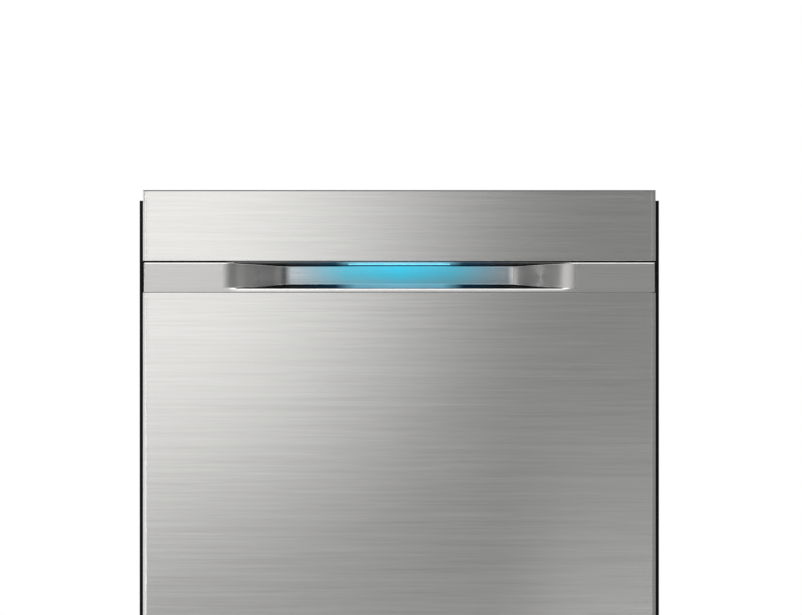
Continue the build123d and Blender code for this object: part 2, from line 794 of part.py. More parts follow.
# Upper rack's slides: an H-shaped rail each side runs on rollers on the tub and carries the rack's own
rail_z = upper_base_z + 55
roller_r = 8.0
roller_width = 6.5
rail_flange = 17.5
rail_clear = 0.4
rail_wall = 1.5
rail_mid_x = tub_half - 11.0
rail_front = tub_front + 8
rail_back = tub_back_y - 28
tub_rollers = (rail_front + 14, rail_front + 98)
rack_rollers = (upper_back - 36, upper_back - 126)
with BuildPart() as upper_rails:
    for side in (-1, 1):
        block(
            side * (rail_mid_x - rail_wall / 2), side * (rail_mid_x + rail_wall / 2), rail_front, rail_back,
            rail_z - roller_r - rail_clear - rail_wall, rail_z + roller_r + rail_clear + rail_wall,
        )
        for flange_z in (rail_z - roller_r - rail_clear - rail_wall, rail_z + roller_r + rail_clear):
            block(
                side * (rail_mid_x - rail_flange / 2), side * (rail_mid_x + rail_flange / 2),
                rail_front, rail_back, flange_z, flange_z + rail_wall,
            )
finish(upper_rails, "upper_rails")

# What the tub's sides carry: rollers for the upper rack's rails and channels for the cutlery tray
tray_rail_z = tray_z + 20
tray_rail_high = 12.0
tray_rail_reach = 12.0
with BuildPart() as tub_rails:
    for side in (-1, 1):
        for y in tub_rollers:
            disc(
                side_plane(side * tub_half), (y, rail_z), roller_r,
                -side * (tub_half - rail_mid_x - rail_wall / 2 - part_gap),
            )
        outer = side * tub_half
        inner = side * (tub_half - tray_rail_reach)
        low = tray_rail_z - tray_rail_high / 2 - rail_clear - rail_wall
        high = tray_rail_z + tray_rail_high / 2 + rail_clear + rail_wall
        block(outer, inner, rail_front, rail_back, low, high)
        block(
            outer - side * rail_wall, inner, rail_front - 1, rail_back + 1,
            low + rail_wall, high - rail_wall, Mode.SUBTRACT,
        )
finish(tub_rails, "tub_rails")

# Door's counterbalance springs, from the hinge arms' tails to the pins on the base
tail_y = hinge_y + 46.0
tail_z = hinge_z - 12.0
spring_r = 5.5
spring_wire = 1.6
spring_x = arm_x + arm_sheet / 2
tail_hole_r = 2.6
tail_r = 6.0
with BuildPart() as door_springs:
    run_y = spring_anchor_y - tail_y
    run_z = spring_anchor_z - tail_z
    run = (run_y ** 2 + run_z ** 2) ** 0.5
    hook = tail_r + part_gap
    for side in (-1, 1):
        start = Vector(side * spring_x, tail_y + run_y * hook / run, tail_z + run_z * hook / run)
        with BuildSketch(Plane(origin=start, x_dir=(1, 0, 0), z_dir=(0, run_y, run_z))) as coil:
            Circle(spring_r)
            Circle(spring_r - spring_wire, mode=Mode.SUBTRACT)
        extrude(coil.sketch, amount=run - hook - anchor_pin_r - part_gap)
finish(door_springs, "door_springs")

# Door: the main outer panel, a pan with short returns
skin_edge = 1.2
door_half = door_width / 2


def skin_block(z0, z1):
    with BuildSketch(front_plane(front_y + skin_return)) as face:
        with Locations((0, (z0 + z1) / 2)):
            Rectangle(door_width, z1 - z0)
    extrude(face.sketch, amount=skin_return)


with BuildPart() as door_panel:
    skin_block(door_bottom, panel_top)
    fillet(door_panel.faces().sort_by(Axis.Y)[0].edges(), radius=skin_edge)
    offset(amount=-sheet, openings=door_panel.faces().sort_by(Axis.Y)[-1])
finish(door_panel, "door_panel")

# Top fascia over the controls, open at its back and top
with BuildPart() as door_fascia:
    skin_block(fascia_bottom, overall_height)
    fillet(door_fascia.faces().sort_by(Axis.Y)[0].edges().filter_by(Axis.Z), radius=skin_edge)
    fillet(door_fascia.faces().sort_by(Axis.Y)[0].edges().sort_by(Axis.Z)[0], radius=skin_edge)
    offset(
        amount=-sheet,
        openings=[door_fascia.faces().sort_by(Axis.Y)[-1], door_fascia.faces().sort_by(Axis.Z)[-1]],
    )
finish(door_fascia, "door_fascia")

# Handle pocket: in plan its ends sweep in on two tangent arcs, and its ceiling and floor are drafted
band_front = front_y + band_recess
pocket_low = band_bottom + pocket_lip
pocket_high = band_top - pocket_brow
with BuildPart() as pocket_form:
    with BuildSketch(level(band_bottom)):
        with BuildLine():
            mouth_corner = (-pocket_mouth / 2, band_front)
            turn_point = (-(pocket_mouth + pocket_floor) / 4, band_front + pocket_depth / 2)
            floor_corner = (-pocket_floor / 2, band_front + pocket_depth)
            sweep_in = TangentArc(mouth_corner, turn_point, tangent=(1, 0))
            TangentArc(turn_point, floor_corner, tangent=sweep_in % 1)
            Line(floor_corner, (0, band_front + pocket_depth))
            Line(mouth_corner, (-pocket_mouth / 2, band_front - 2))
            Line((-pocket_mouth / 2, band_front - 2), (0, band_front - 2))
            mirror(about=Plane.YZ)
        make_face()
    extrude(amount=band_height)
    with BuildSketch(side_plane(-pocket_mouth / 2)):
        with BuildLine():
            Polyline(
                (band_front - 2, pocket_low),
                (band_front, pocket_low),
                (band_front + pocket_depth, pocket_low + pocket_draft),
                (band_front + pocket_depth, pocket_high - pocket_draft),
                (band_front, pocket_high),
                (band_front - 2, pocket_high),
                close=True,
            )
        make_face()
    extrude(amount=pocket_mouth, mode=Mode.INTERSECT)

band_half = door_half - band_inset
lens_y = band_front + lens_setback
lens_fit = 0.1
with BuildPart() as handle_band:
    block(-band_half, band_half, band_front, front_y + skin_return, band_bottom, band_top)
    block(
        -pocket_mouth / 2 - 8, pocket_mouth / 2 + 8, band_front, band_front + pocket_depth + sheet,
        band_bottom, band_top,
    )
    add(pocket_form.part, mode=Mode.SUBTRACT)
    for side in (-1, 1):
        block(
            side * (pocket_mouth / 2 + 8), side * (band_half - sheet),
            band_front + sheet, front_y + skin_return,
            band_bottom + sheet, band_top - sheet, Mode.SUBTRACT,
        )
    block(
        -lens_length / 2 - lens_fit, lens_length / 2 + lens_fit, lens_y - lens_fit,
        lens_y + lens_width + lens_fit, (pocket_low + pocket_high) / 2, band_top, Mode.SUBTRACT,
    )
finish(handle_band, "handle_band")

# Lamp lens in the pocket's ceiling
with BuildPart() as handle_light:
    block(
        -lens_length / 2, lens_length / 2, lens_y, lens_y + lens_width,
        (pocket_low + pocket_high) / 2, band_top,
    )
    add(pocket_form.part, mode=Mode.SUBTRACT)
finish(handle_light, "handle_light")

# Door liner: a deep pan whose raised middle goes into the tub's mouth
liner_half = door_half - sheet - part_gap
liner_low = door_bottom + sheet + part_gap
liner_top = overall_height - 14.0
liner_front = front_y + skin_return + part_gap
plug_half = tub_half - plug_side
plug_low = hinge_z + plug_bottom_rise
plug_high = tub_top - plug_top_drop
plug_draft = 6.0
dispenser_z = 390.0
dispenser_width = 190.0
dispenser_height = 132.0
dispenser_corner = 8.0
fit_gap = 0.2
with BuildPart() as door_liner:
    with BuildSketch(front_plane(flange_y)):
        with Locations((0, (liner_low + liner_top) / 2)):
            Rectangle(2 * liner_half, liner_top - liner_low)
    extrude(amount=flange_y - liner_front)
    with BuildSketch(front_plane(flange_y)) as plug:
        with Locations((0, (plug_low + plug_high) / 2)):
            RectangleRounded(2 * plug_half, plug_high - plug_low, plug_corner)
    extrude(plug.sketch, amount=-liner_plug, taper=plug_draft)
    offset(amount=-sheet, openings=door_liner.faces().sort_by(Axis.Y)[0])
    with BuildSketch(front_plane(liner_face)) as port:
        with Locations((0, dispenser_z)):
            RectangleRounded(
                dispenser_width + 2 * fit_gap, dispenser_height + 2 * fit_gap, dispenser_corner + fit_gap,
            )
    extrude(port.sketch, amount=sheet, mode=Mode.SUBTRACT)
    for side in (-1, 1):
        block(
            side * (arm_x - 2), side * (arm_x + arm_sheet + 2), liner_front + 1, flange_y + 1,
            liner_low - 1, plug_low + 8, Mode.SUBTRACT,
        )
finish(door_liner, "door_liner")

# Hinge arms: an eye on the base's pin, a blade up inside the door and a tail for the spring
blade_front = hinge_y - 27.0
blade_back = hinge_y - 5.0
blade_top = hinge_z + 140.0
blade_low = hinge_z + 26.0
with BuildPart() as hinge_arms:
    for side in (-1, 1):
        arm_face = side_plane(side * arm_x)
        with BuildSketch(arm_face) as arm:
            with BuildLine():
                Polyline(
                    (hinge_y - eye_r, hinge_z),
                    (blade_front, blade_low),
                    (blade_front, blade_top),
                    (blade_back, blade_top),
                    (blade_back, blade_low),
                    (hinge_y + eye_r * cos(radians(35)), hinge_z + eye_r * sin(radians(35))),
                    close=True,
                )
            make_face()
            with BuildSketch() as tail:
                with Locations((hinge_y, hinge_z)):
                    Circle(eye_r)
                with Locations((tail_y, tail_z)):
                    Circle(tail_r)
                make_hull()
            with Locations((hinge_y, hinge_z)):
                Circle(pin_r + run_gap, mode=Mode.SUBTRACT)
            with Locations((tail_y, tail_z)):
                Circle(tail_hole_r, mode=Mode.SUBTRACT)
        extrude(arm.sketch, amount=side * arm_sheet)
        block(
            side * (arm_x + arm_sheet), side * (liner_half - sheet),
            blade_front, blade_back, blade_top - 90, blade_top,
        )
finish(hinge_arms, "hinge_arms")

# Control strip along the door's top edge, a tray open below with slots for the buttons
strip_top = overall_height - 0.8
strip_wall = 2.5
strip_front = front_y + sheet + weld_gap
button_y = (strip_front + flange_y) / 2
button_xs = (-220.0, -180.0, -140.0, 180.0)
button_long = 22.0
button_wide = 9.0
button_gap = 0.4
button_proud = 0.6
button_travel = 1.2
window_half = 60.0
window_deep = 30.0
window_thick = 1.2
strike_gap = 4.0
with BuildPart() as control_strip:
    block(-liner_half, liner_half, strip_front, flange_y, liner_top, strip_top)
    offset(amount=-strip_wall, openings=control_strip.faces().sort_by(Axis.Z)[0])
    with BuildSketch(level(strip_top)) as button_slots:
        with Locations(*[(x, button_y) for x in button_xs]):
            Rectangle(button_long + 2 * button_gap, button_wide + 2 * button_gap)
    extrude(button_slots.sketch, amount=-strip_wall, mode=Mode.SUBTRACT)
    block(
        -window_half - fit_gap, window_half + fit_gap, button_y - window_deep / 2 - fit_gap,
        button_y + window_deep / 2 + fit_gap, strip_top - window_thick, strip_top, Mode.SUBTRACT,
    )
    block(
        -strike_half - strike_gap, strike_half + strike_gap, flange_y - strip_wall - 1, flange_y + 1,
        liner_top, frame_top + strike_sheet + 3, Mode.SUBTRACT,
    )
finish(control_strip, "control_strip")

with BuildPart() as display_window:
    block(
        -window_half, window_half, button_y - window_deep / 2, button_y + window_deep / 2,
        strip_top - window_thick, strip_top,
    )
    fillet(display_window.edges().filter_by(Axis.Z), radius=1)
finish(display_window, "display_window")

button_names = ("button_power", "button_cycle", "button_option", "button_start")
for name, x in zip(button_names, button_xs):
    with BuildPart() as button:
        block(
            x - button_long / 2, x + button_long / 2, button_y - button_wide / 2, button_y + button_wide / 2,
            strip_top - strip_wall - part_gap, strip_top + button_proud,
        )
        fillet(button.faces().sort_by(Axis.Z)[-1].edges(), radius=0.5)
        block(
            x - button_long / 2 - 1.5, x + button_long / 2 + 1.5,
            button_y - button_wide / 2 - 1.5, button_y + button_wide / 2 + 1.5,
            strip_top - strip_wall - part_gap - 1.5, strip_top - strip_wall - part_gap,
        )
    finish(button, name)

# Latch behind the strip: a housing that the strike enters and a sprung lever over it
latch_half = 30.0
latch_front = liner_front
latch_back = flange_y - strip_wall - weld_gap
latch_roof = strip_top - strip_wall
cavity_low = liner_top + 1.2
cavity_high = latch_roof - 1.2
lever_half = 5.0
lever_y = latch_front + 8.0
lever_z = frame_top + strike_sheet + 2.2
lever_pin_r = 1.5
lever_boss_r = 2.9
lever_nose_y = frame_face - strike_reach + 10.0
with BuildPart() as latch_housing:
    block(-latch_half, latch_half, latch_front, latch_back, liner_top, latch_roof)
    block(
        -strike_half - strike_gap + 0.5, strike_half + strike_gap - 0.5, frame_face - strike_reach - 4,
        latch_back + 1, cavity_low, cavity_high, Mode.SUBTRACT,
    )
    block(
        -lever_half - 1, lever_half + 1, latch_front + 2, latch_back + 1,
        cavity_low, cavity_high, Mode.SUBTRACT,
    )
    disc(side_plane(-lever_half - 1), (lever_y, lever_z), lever_pin_r, 2 * lever_half + 2)
finish(latch_housing, "latch_housing")

with BuildPart() as latch_lever:
    disc(side_plane(-lever_half), (lever_y, lever_z), lever_boss_r, 2 * lever_half)
    block(-lever_half, lever_half, lever_y, lever_nose_y, lever_z - 1, lever_z + 0.8)
    block(
        -lever_half, lever_half, lever_nose_y - 5, lever_nose_y,
        frame_top + strike_sheet + 0.4, lever_z + 0.8,
    )
    fillet(latch_lever.edges().filter_by(Axis.X).group_by(Axis.Z)[0].sort_by(Axis.Y)[-1], radius=0.6)
    bore(side_plane(-lever_half), (lever_y, lever_z), lever_pin_r + run_gap, 2 * lever_half)
finish(latch_lever, "latch_lever")

# Detergent dispenser in the liner, with a sliding lid over its cup and a rinse-aid cap
dispenser_proud = 4.0
dispenser_deep = 34.0
dispenser_face = liner_face + dispenser_proud
cup_x = -45.0
cup_z = dispenser_z - 14.0
cup_side = 78.0
cup_deep = 18.0
lid_side = 86.0
lid_thick = 2.4
lid_travel = 86.0
guide = 2.5
cap_x = 62.0
cap_z = dispenser_z + 47.0
cap_r = 13.0
cap_stem_r = 9.0
with BuildPart() as dispenser_body:
    with BuildSketch(front_plane(dispenser_face)):
        with Locations((0, dispenser_z)):
            RectangleRounded(dispenser_width, dispenser_height, dispenser_corner)
    extrude(amount=dispenser_deep)
    with BuildSketch(front_plane(dispenser_face)) as cup:
        with Locations((cup_x, cup_z)):
            RectangleRounded(cup_side, cup_side, 10)
    extrude(cup.sketch, amount=cup_deep, mode=Mode.SUBTRACT)
    bore(front_plane(dispenser_face), (cap_x, cap_z), cap_stem_r + part_gap, 8)
    for guide_z in (cup_z - lid_side / 2 - part_gap - guide, cup_z + lid_side / 2 + part_gap):
        block(
            cup_x - lid_side / 2 - 2, cup_x + lid_side / 2 + lid_travel, dispenser_face,
            dispenser_face + lid_thick, guide_z, guide_z + guide,
        )
finish(dispenser_body, "dispenser_body")

with BuildPart() as dispenser_lid:
    block(
        cup_x - lid_side / 2, cup_x + lid_side / 2, dispenser_face + part_gap,
        dispenser_face + part_gap + lid_thick, cup_z - lid_side / 2, cup_z + lid_side / 2,
    )
    with BuildSketch(front_plane(dispenser_face + part_gap + lid_thick)) as thumb:
        with Locations((cup_x + 20, cup_z)):
            SlotOverall(40, 12, rotation=90)
    extrude(thumb.sketch, amount=1, mode=Mode.SUBTRACT)
finish(dispenser_lid, "dispenser_lid")

with BuildPart() as rinse_cap:
    disc(front_plane(dispenser_face - 7), (cap_x, cap_z), cap_stem_r, -7 - part_gap)
    disc(front_plane(dispenser_face + part_gap), (cap_x, cap_z), cap_r, -3)
    with BuildSketch(front_plane(dispenser_face + part_gap + 3)) as rib:
        with Locations((cap_x, cap_z)):
            Rectangle(2 * cap_r - 4, 3)
    extrude(rib.sketch, amount=-2.4)
finish(rinse_cap, "rinse_cap")


def spray_arm(z_low, reach, collar_low, collar_high, bore_low, bore_high, swirl, nozzles):
    # A hollow-looking blade: three circles in a hull, with crowned edges and nozzle slots on top.
    tip_r = 12.0
    with BuildPart() as arm:
        with BuildSketch(level(z_low)):
            with Locations((0, hub_y)):
                Circle(collar_r + 9)
            with Locations((reach - tip_r, hub_y + swirl), (tip_r - reach, hub_y - swirl)):
                Circle(tip_r)
            make_hull()
        extrude(amount=arm_thick)
        chamfer(arm.faces().sort_by(Axis.Z)[-1].edges(), length=arm_bevel)
        for share in nozzles:
            with BuildSketch(level(z_low + arm_thick)) as jet:
                with Locations((share * reach, hub_y + share * swirl)):
                    Rectangle(9, 3, rotation=20)
            extrude(jet.sketch, amount=-2.5, mode=Mode.SUBTRACT)
        disc(level(collar_low), (0, hub_y), collar_r, collar_high - collar_low)
        bore(level(bore_low), (0, hub_y), journal_r + run_gap, bore_high - bore_low)
    return arm


# Lower spray arm, dropped over the sump's post; its bore is closed on top
lower_spray_arm = spray_arm(
    lower_arm_z, lower_arm_r, post_top + part_gap, lower_arm_z + arm_thick,
    post_top, lower_arm_z + arm_thick / 2 + 0.6, 9.0, (-0.86, -0.6, -0.34, 0.28, 0.52, 0.78),
)
finish(lower_spray_arm, "lower_spray_arm")

# Upper rack's duct: it docks against the feed tube and carries the upper spray arm on its journal
duct_half = 14.0
duct_low = upper_base_z - 13.5
duct_high = upper_base_z - weld_gap
dock_gap = 0.5
upper_journal = 19.0
upper_arm_low = duct_low - upper_journal + 0.4
with BuildPart() as upper_arm_duct:
    block(-duct_half, duct_half, hub_y - duct_half, dock_y - dock_gap, duct_low, duct_high)
    fillet(upper_arm_duct.edges().filter_by(Axis.Z).group_by(Axis.Y)[0], radius=8)
    disc(level(duct_low), (0, hub_y), journal_r, -upper_journal)
    disc(level(duct_low - upper_journal - weld_gap), (0, hub_y), nut_r, -nut_thick)
finish(upper_arm_duct, "upper_arm_duct")

upper_spray_arm = spray_arm(
    upper_arm_low, upper_arm_r, upper_arm_low, duct_low - part_gap - 1,
    upper_arm_low - 1, duct_low, -8.0, (-0.84, -0.58, -0.3, 0.36, 0.62, 0.82),
)
finish(upper_spray_arm, "upper_spray_arm")

# Top spray arm under the tub's ceiling
top_arm_low = feed_top - feed_thick - top_journal + 0.4
top_spray_arm = spray_arm(
    top_arm_low, top_arm_r, top_arm_low, feed_top - feed_thick - part_gap - 1,
    top_arm_low - 1, feed_top, 5.0, (-0.78, -0.5, 0.44, 0.7),
)
finish(top_spray_arm, "top_spray_arm")

# Wire racks. Wires are separate rods that stop a weld's width short of each other.
rim_corner = 24.0


def rack_wires(half, front, back, base, rim, middle, along_xs, across_ys):
    cross_z = base + 1.5 * wire + weld_gap
    upright_x = half + weld_gap + wire / 2
    front_y0 = front - weld_gap - wire / 2
    back_y0 = back + weld_gap + wire / 2
    rim_x = upright_x + wire + weld_gap
    rim_front = front_y0 - wire - weld_gap
    rim_back = back_y0 + wire + weld_gap
    with BuildPart() as wires:
        rods(front_plane(back), [(x, base + wire / 2) for x in along_xs], back - front)
        rods(side_plane(-half), [(y, cross_z) for y in across_ys], 2 * half)
        sides = [(side * upright_x, y) for side in (-1, 1) for y in across_ys]
        rods(level(base + wire + weld_gap), sides, rim - base - wire - weld_gap)
        ends = [(x, y) for y in (front_y0, back_y0) for x in along_xs]
        rods(level(base), ends, rim - base)
        for z in (rim, middle):
            places = [(side * rim_x, z - wire / 2) for side in (-1, 1)]
            rods(
                front_plane(rim_back - rim_corner - weld_gap), places,
                rim_back - rim_front - 2 * rim_corner - 2 * weld_gap,
            )
        places = [(y, rim - wire / 2) for y in (rim_front, rim_back)]
        rods(
            side_plane(-rim_x + rim_corner + weld_gap), places,
            2 * (rim_x - rim_corner - weld_gap),
        )
        for side, corner_y, plane_turn in (
            (1, rim_back - rim_corner, 0), (-1, rim_back - rim_corner, 90),
            (-1, rim_front + rim_corner, 180), (1, rim_front + rim_corner, 270),
        ):
            corner_x = side * (rim_x - rim_corner)
            section = Plane(
                origin=(corner_x, corner_y, rim - wire / 2),
                x_dir=(cos(radians(plane_turn)), sin(radians(plane_turn)), 0),
                z_dir=(sin(radians(plane_turn)), -cos(radians(plane_turn)), 0),
            )
            with BuildSketch(section) as corner:
                with Locations((rim_corner, 0)):
                    Rectangle(wire, wire)
            revolve(corner.sketch, axis=Axis((corner_x, corner_y, 0), (0, 0, 1)), revolution_arc=90)
    return wires


# Lower rack with its fixed tines, clips for the folding row and brackets for the wheels
lower_along = spread(-lower_half + 28, lower_half - 28, 9)
lower_across = spread(lower_front + 24, lower_back - 24, 10)
tine_low = lower_base_z + 2 * wire + 2 * weld_gap
tine_high = tine_low + 82
basket_width = 74.0
basket_x1 = lower_half - 26.0
basket_x0 = basket_x1 - basket_width
tine_xs = spread(-lower_half + 34, basket_x0 - 16, 10)
wheel_ys = (lower_front + 101, lower_back - 75)
wheel_z = track_z + wheel_r + part_gap
wheel_x0 = lower_half - 12.0
bracket_thick = 3.0
fold_rod_r = 2.2
fold_y = (lower_across[7] + lower_across[8]) / 2
fold_z = tine_low + fold_rod_r + part_gap
clip_xs = (tine_xs[1] + 12, tine_xs[8] - 12)
clip_long = 8.0
clip_high = 9.0
lower_wires = rack_wires(
    lower_half, lower_front, lower_back, lower_base_z, lower_rim_z,
    (lower_base_z + lower_rim_z) / 2, lower_along, lower_across,
)
with BuildPart() as lower_rack:
    add(lower_wires.part)
    fixed_tines = [(x, y) for y in (lower_across[2], lower_across[5]) for x in tine_xs]
    rods(level(tine_low), fixed_tines, tine_high - tine_low, tine_wire)
    for x in clip_xs:
        with BuildSketch(side_plane(x - clip_long / 2)) as clip:
            with Locations((fold_y, fold_z)):
                Rectangle(lower_across[8] - lower_across[7] + wire, 2 * fold_rod_r + 4)
                Circle(fold_rod_r + run_gap, mode=Mode.SUBTRACT)
        extrude(clip.sketch, amount=clip_long)
    for side in (-1, 1):
        for y in wheel_ys:
            bracket_in = side * (wheel_x0 - part_gap - bracket_thick)
            block(
                bracket_in, side * (wheel_x0 - part_gap), y - 12, y + 12,
                wheel_z - 7, lower_base_z + wire,
            )
            disc(
                side_plane(side * (wheel_x0 - part_gap + weld_gap)), (y, wheel_z), axle_r,
                side * (wheel_width + 2 * part_gap + 1),
            )
finish(lower_rack, "lower_rack")

# Wheels with a dished outer face and a hub
wheel_sides = 20
dish_depth = 3.0
tread_wall = 5.0
hub_r = 7.0
for name, y in (("front_wheels", wheel_ys[0]), ("rear_wheels", wheel_ys[1])):
    with BuildPart() as wheels:
        for side in (-1, 1):
            with BuildSketch(side_plane(side * wheel_x0)) as tread:
                with Locations((y, wheel_z)):
                    RegularPolygon(wheel_r, wheel_sides)
            extrude(tread.sketch, amount=side * wheel_width)
            with BuildSketch(side_plane(side * (wheel_x0 + wheel_width - dish_depth))) as dish:
                with Locations((y, wheel_z)):
                    RegularPolygon(wheel_r - tread_wall, wheel_sides)
                    Circle(hub_r, mode=Mode.SUBTRACT)
            extrude(dish.sketch, amount=side * dish_depth, mode=Mode.SUBTRACT)
            bore(side_plane(side * wheel_x0), (y, wheel_z), axle_r + run_gap, side * wheel_width)
    finish(wheels, name)

# Row of tines that folds down to the back on its rod
with BuildPart() as tine_row:
    disc(side_plane(tine_xs[0] - 8), (fold_y, fold_z), fold_rod_r, tine_xs[-1] - tine_xs[0] + 16)
    rods(level(fold_z + fold_rod_r + weld_gap), [(x, fold_y) for x in tine_xs], 74, tine_wire)
finish(tine_row, "tine_row")

# Silverware basket on the right of the lower rack, three tapered pockets
basket_y0 = lower_front + 30
basket_y1 = basket_y0 + 248
basket_low = tine_low + part_gap
basket_high = basket_low + 122
basket_wall = 2.5
pocket_count = 3
pocket_long = (basket_y1 - basket_y0 - (pocket_count + 1) * basket_wall) / pocket_count
with BuildPart() as silverware_basket:
    block(basket_x0, basket_x1, basket_y0, basket_y1, basket_low, basket_high)
    fillet(silverware_basket.edges().filter_by(Axis.Z), radius=6)
    for i in range(pocket_count):
        pocket_y = basket_y0 + basket_wall + i * (pocket_long + basket_wall)
        block(
            basket_x0 + basket_wall, basket_x1 - basket_wall, pocket_y, pocket_y + pocket_long,
            basket_low + basket_wall, basket_high, Mode.SUBTRACT,
        )
finish(silverware_basket, "silverware_basket")

# Upper rack with its roller bars and clips for the cup shelf
upper_along = spread(-upper_half + 28, upper_half - 28, 9)
upper_across = spread(upper_front + 24, upper_back - 24, 10)
upper_tine_low = upper_base_z + 2 * wire + 2 * weld_gap
bar_x0 = upper_half + 2 * wire + 2 * weld_gap + part_gap / 3
bar_x1 = rail_mid_x - rail_flange / 2 - part_gap
shelf_rod_x = -upper_half + 8.0
shelf_z = upper_rim_z - 10.0
shelf_reach = 104.0
shelf_y0 = upper_across[2] - 8
shelf_y1 = upper_across[7] + 8
middle_z = rail_z + 10.0
upper_wires = rack_wires(
    upper_half, upper_front, upper_back, upper_base_z, upper_rim_z, middle_z, upper_along, upper_across,
)
with BuildPart() as upper_rack:
    add(upper_wires.part)
    rods(
        level(upper_tine_low),
        [(x, y) for y in (upper_across[3], upper_across[6]) for x in spread(-20, upper_half - 34, 6)],
        62, tine_wire,
    )
    for side in (-1, 1):
        block(
            side * bar_x0, side * bar_x1, rack_rollers[1] - 20, rack_rollers[0] + 20,
            rail_z - roller_r, middle_z,
        )
        for y in rack_rollers:
            disc(side_plane(side * (bar_x1 + weld_gap)), (y, rail_z), roller_r, side * roller_width)
    for y in (upper_across[2], upper_across[7]):
        with BuildSketch(front_plane(y + 3)) as cup_clip:
            with Locations(((shelf_rod_x - upper_half) / 2 + 2, shelf_z)):
                Rectangle(upper_half + shelf_rod_x + 4, 2 * fold_rod_r + 4)
            with Locations((shelf_rod_x, shelf_z)):
                Circle(fold_rod_r + run_gap, mode=Mode.SUBTRACT)
        extrude(cup_clip.sketch, amount=6)
finish(upper_rack, "upper_rack")

with BuildPart() as cup_shelf:
    disc(front_plane(shelf_y1), (shelf_rod_x, shelf_z), fold_rod_r, shelf_y1 - shelf_y0)
    rods(
        side_plane(shelf_rod_x + fold_rod_r + weld_gap),
        [(y, shelf_z) for y in spread(upper_across[2] + 14, upper_across[7] - 14, 7)],
        shelf_reach - fold_rod_r, tine_wire,
    )
    rods(front_plane(shelf_y1), [(shelf_rod_x + shelf_reach + wire / 2 + weld_gap * 2, shelf_z)], shelf_y1 - shelf_y0)
finish(cup_shelf, "cup_shelf")

# Cutlery tray with its runners
tray_along = spread(-tray_half + 26, tray_half - 26, 13)
tray_across = spread(tray_front + 24, tray_back - 24, 5)
tray_rim = tray_z + tray_height
tray_middle = tray_rail_z + wire / 2
tray_wires = rack_wires(
    tray_half, tray_front, tray_back, tray_z, tray_rim, tray_middle, tray_along, tray_across,
)
with BuildPart() as cutlery_tray:
    add(tray_wires.part)
    for side in (-1, 1):
        block(
            side * (tray_half + 2 * wire + 3 * weld_gap), side * (tub_half - rail_wall - rail_clear),
            tray_front + 24, tray_back - 10,
            tray_rail_z - tray_rail_high / 2, tray_rail_z + tray_rail_high / 2,
        )
finish(cutlery_tray, "cutlery_tray")
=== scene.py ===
import json
import math

import bmesh
import bpy
from mathutils import Matrix, Vector, noise

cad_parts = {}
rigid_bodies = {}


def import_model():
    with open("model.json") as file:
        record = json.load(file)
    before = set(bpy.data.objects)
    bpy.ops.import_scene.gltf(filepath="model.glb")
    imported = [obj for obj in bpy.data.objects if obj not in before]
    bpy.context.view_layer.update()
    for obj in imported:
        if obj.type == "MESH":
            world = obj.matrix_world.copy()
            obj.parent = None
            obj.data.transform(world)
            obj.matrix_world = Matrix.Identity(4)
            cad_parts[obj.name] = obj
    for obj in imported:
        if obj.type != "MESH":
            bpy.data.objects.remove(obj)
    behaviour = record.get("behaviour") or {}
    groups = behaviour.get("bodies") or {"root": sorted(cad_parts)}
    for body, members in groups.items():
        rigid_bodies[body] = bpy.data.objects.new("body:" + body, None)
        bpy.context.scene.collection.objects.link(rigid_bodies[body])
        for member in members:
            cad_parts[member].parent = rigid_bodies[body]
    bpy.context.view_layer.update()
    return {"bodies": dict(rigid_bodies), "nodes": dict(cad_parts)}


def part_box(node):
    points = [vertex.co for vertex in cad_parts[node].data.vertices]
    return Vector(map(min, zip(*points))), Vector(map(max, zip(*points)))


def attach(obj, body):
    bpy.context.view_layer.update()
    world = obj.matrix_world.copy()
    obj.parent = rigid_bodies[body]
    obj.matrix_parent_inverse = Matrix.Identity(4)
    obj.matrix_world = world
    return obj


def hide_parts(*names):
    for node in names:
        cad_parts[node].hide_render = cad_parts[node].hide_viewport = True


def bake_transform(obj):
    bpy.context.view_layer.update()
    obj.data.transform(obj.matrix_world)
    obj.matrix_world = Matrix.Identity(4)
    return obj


# Built-in dishwasher: a brushed stainless door with a lit pocket handle, over a tub with racks, spray arms and
# pumps. The pieces are drawn in millimetres, and the studio's places and sizes are in metres.

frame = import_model()
nodes = frame["nodes"]
print("frame loaded:", len(nodes), "nodes")

mm = 0.001


# materials

def linear(hexColour, alpha=1.0):
    channels = [int(hexColour[i:i + 2], 16) / 255 for i in (1, 3, 5)]
    toned = [c / 12.92 if c <= 0.04045 else ((c + 0.055) / 1.055) ** 2.4 for c in channels]
    return (*toned, alpha)


def addNode(tree, kind, inputs=None, **settings):
    # one node with its settings; each input gets a value, or a link from the output given for it
    node = tree.nodes.new(kind)
    for name, value in settings.items():
        setattr(node, name, value)
    for socket, value in (inputs or {}).items():
        if isinstance(value, bpy.types.NodeSocket):
            tree.links.new(value, node.inputs[socket])
        else:
            node.inputs[socket].default_value = value
    return node


def newMaterial(name, **shaderValues):
    material = bpy.data.materials.new(name)
    material.use_nodes = True
    tree = material.node_tree
    shader = tree.nodes["Principled BSDF"]
    for socket, value in shaderValues.items():
        shader.inputs[socket.replace("_", " ")].default_value = value
    return material, tree, shader


def pattern(tree, sizeMm, kind="ShaderNodeTexNoise", **sockets):
    # a texture whose features are about sizeMm, given once or along X, Y and Z
    sizes = sizeMm if isinstance(sizeMm, tuple) else (sizeMm, sizeMm, sizeMm)
    coords = addNode(tree, "ShaderNodeTexCoord")
    scale = [1 / (size * mm) for size in sizes]
    scaled = addNode(tree, "ShaderNodeMapping", {"Vector": coords.outputs["Object"], "Scale": scale})
    return addNode(tree, kind, {"Vector": scaled.outputs["Vector"], "Scale": 1.0, **sockets}).outputs[0]


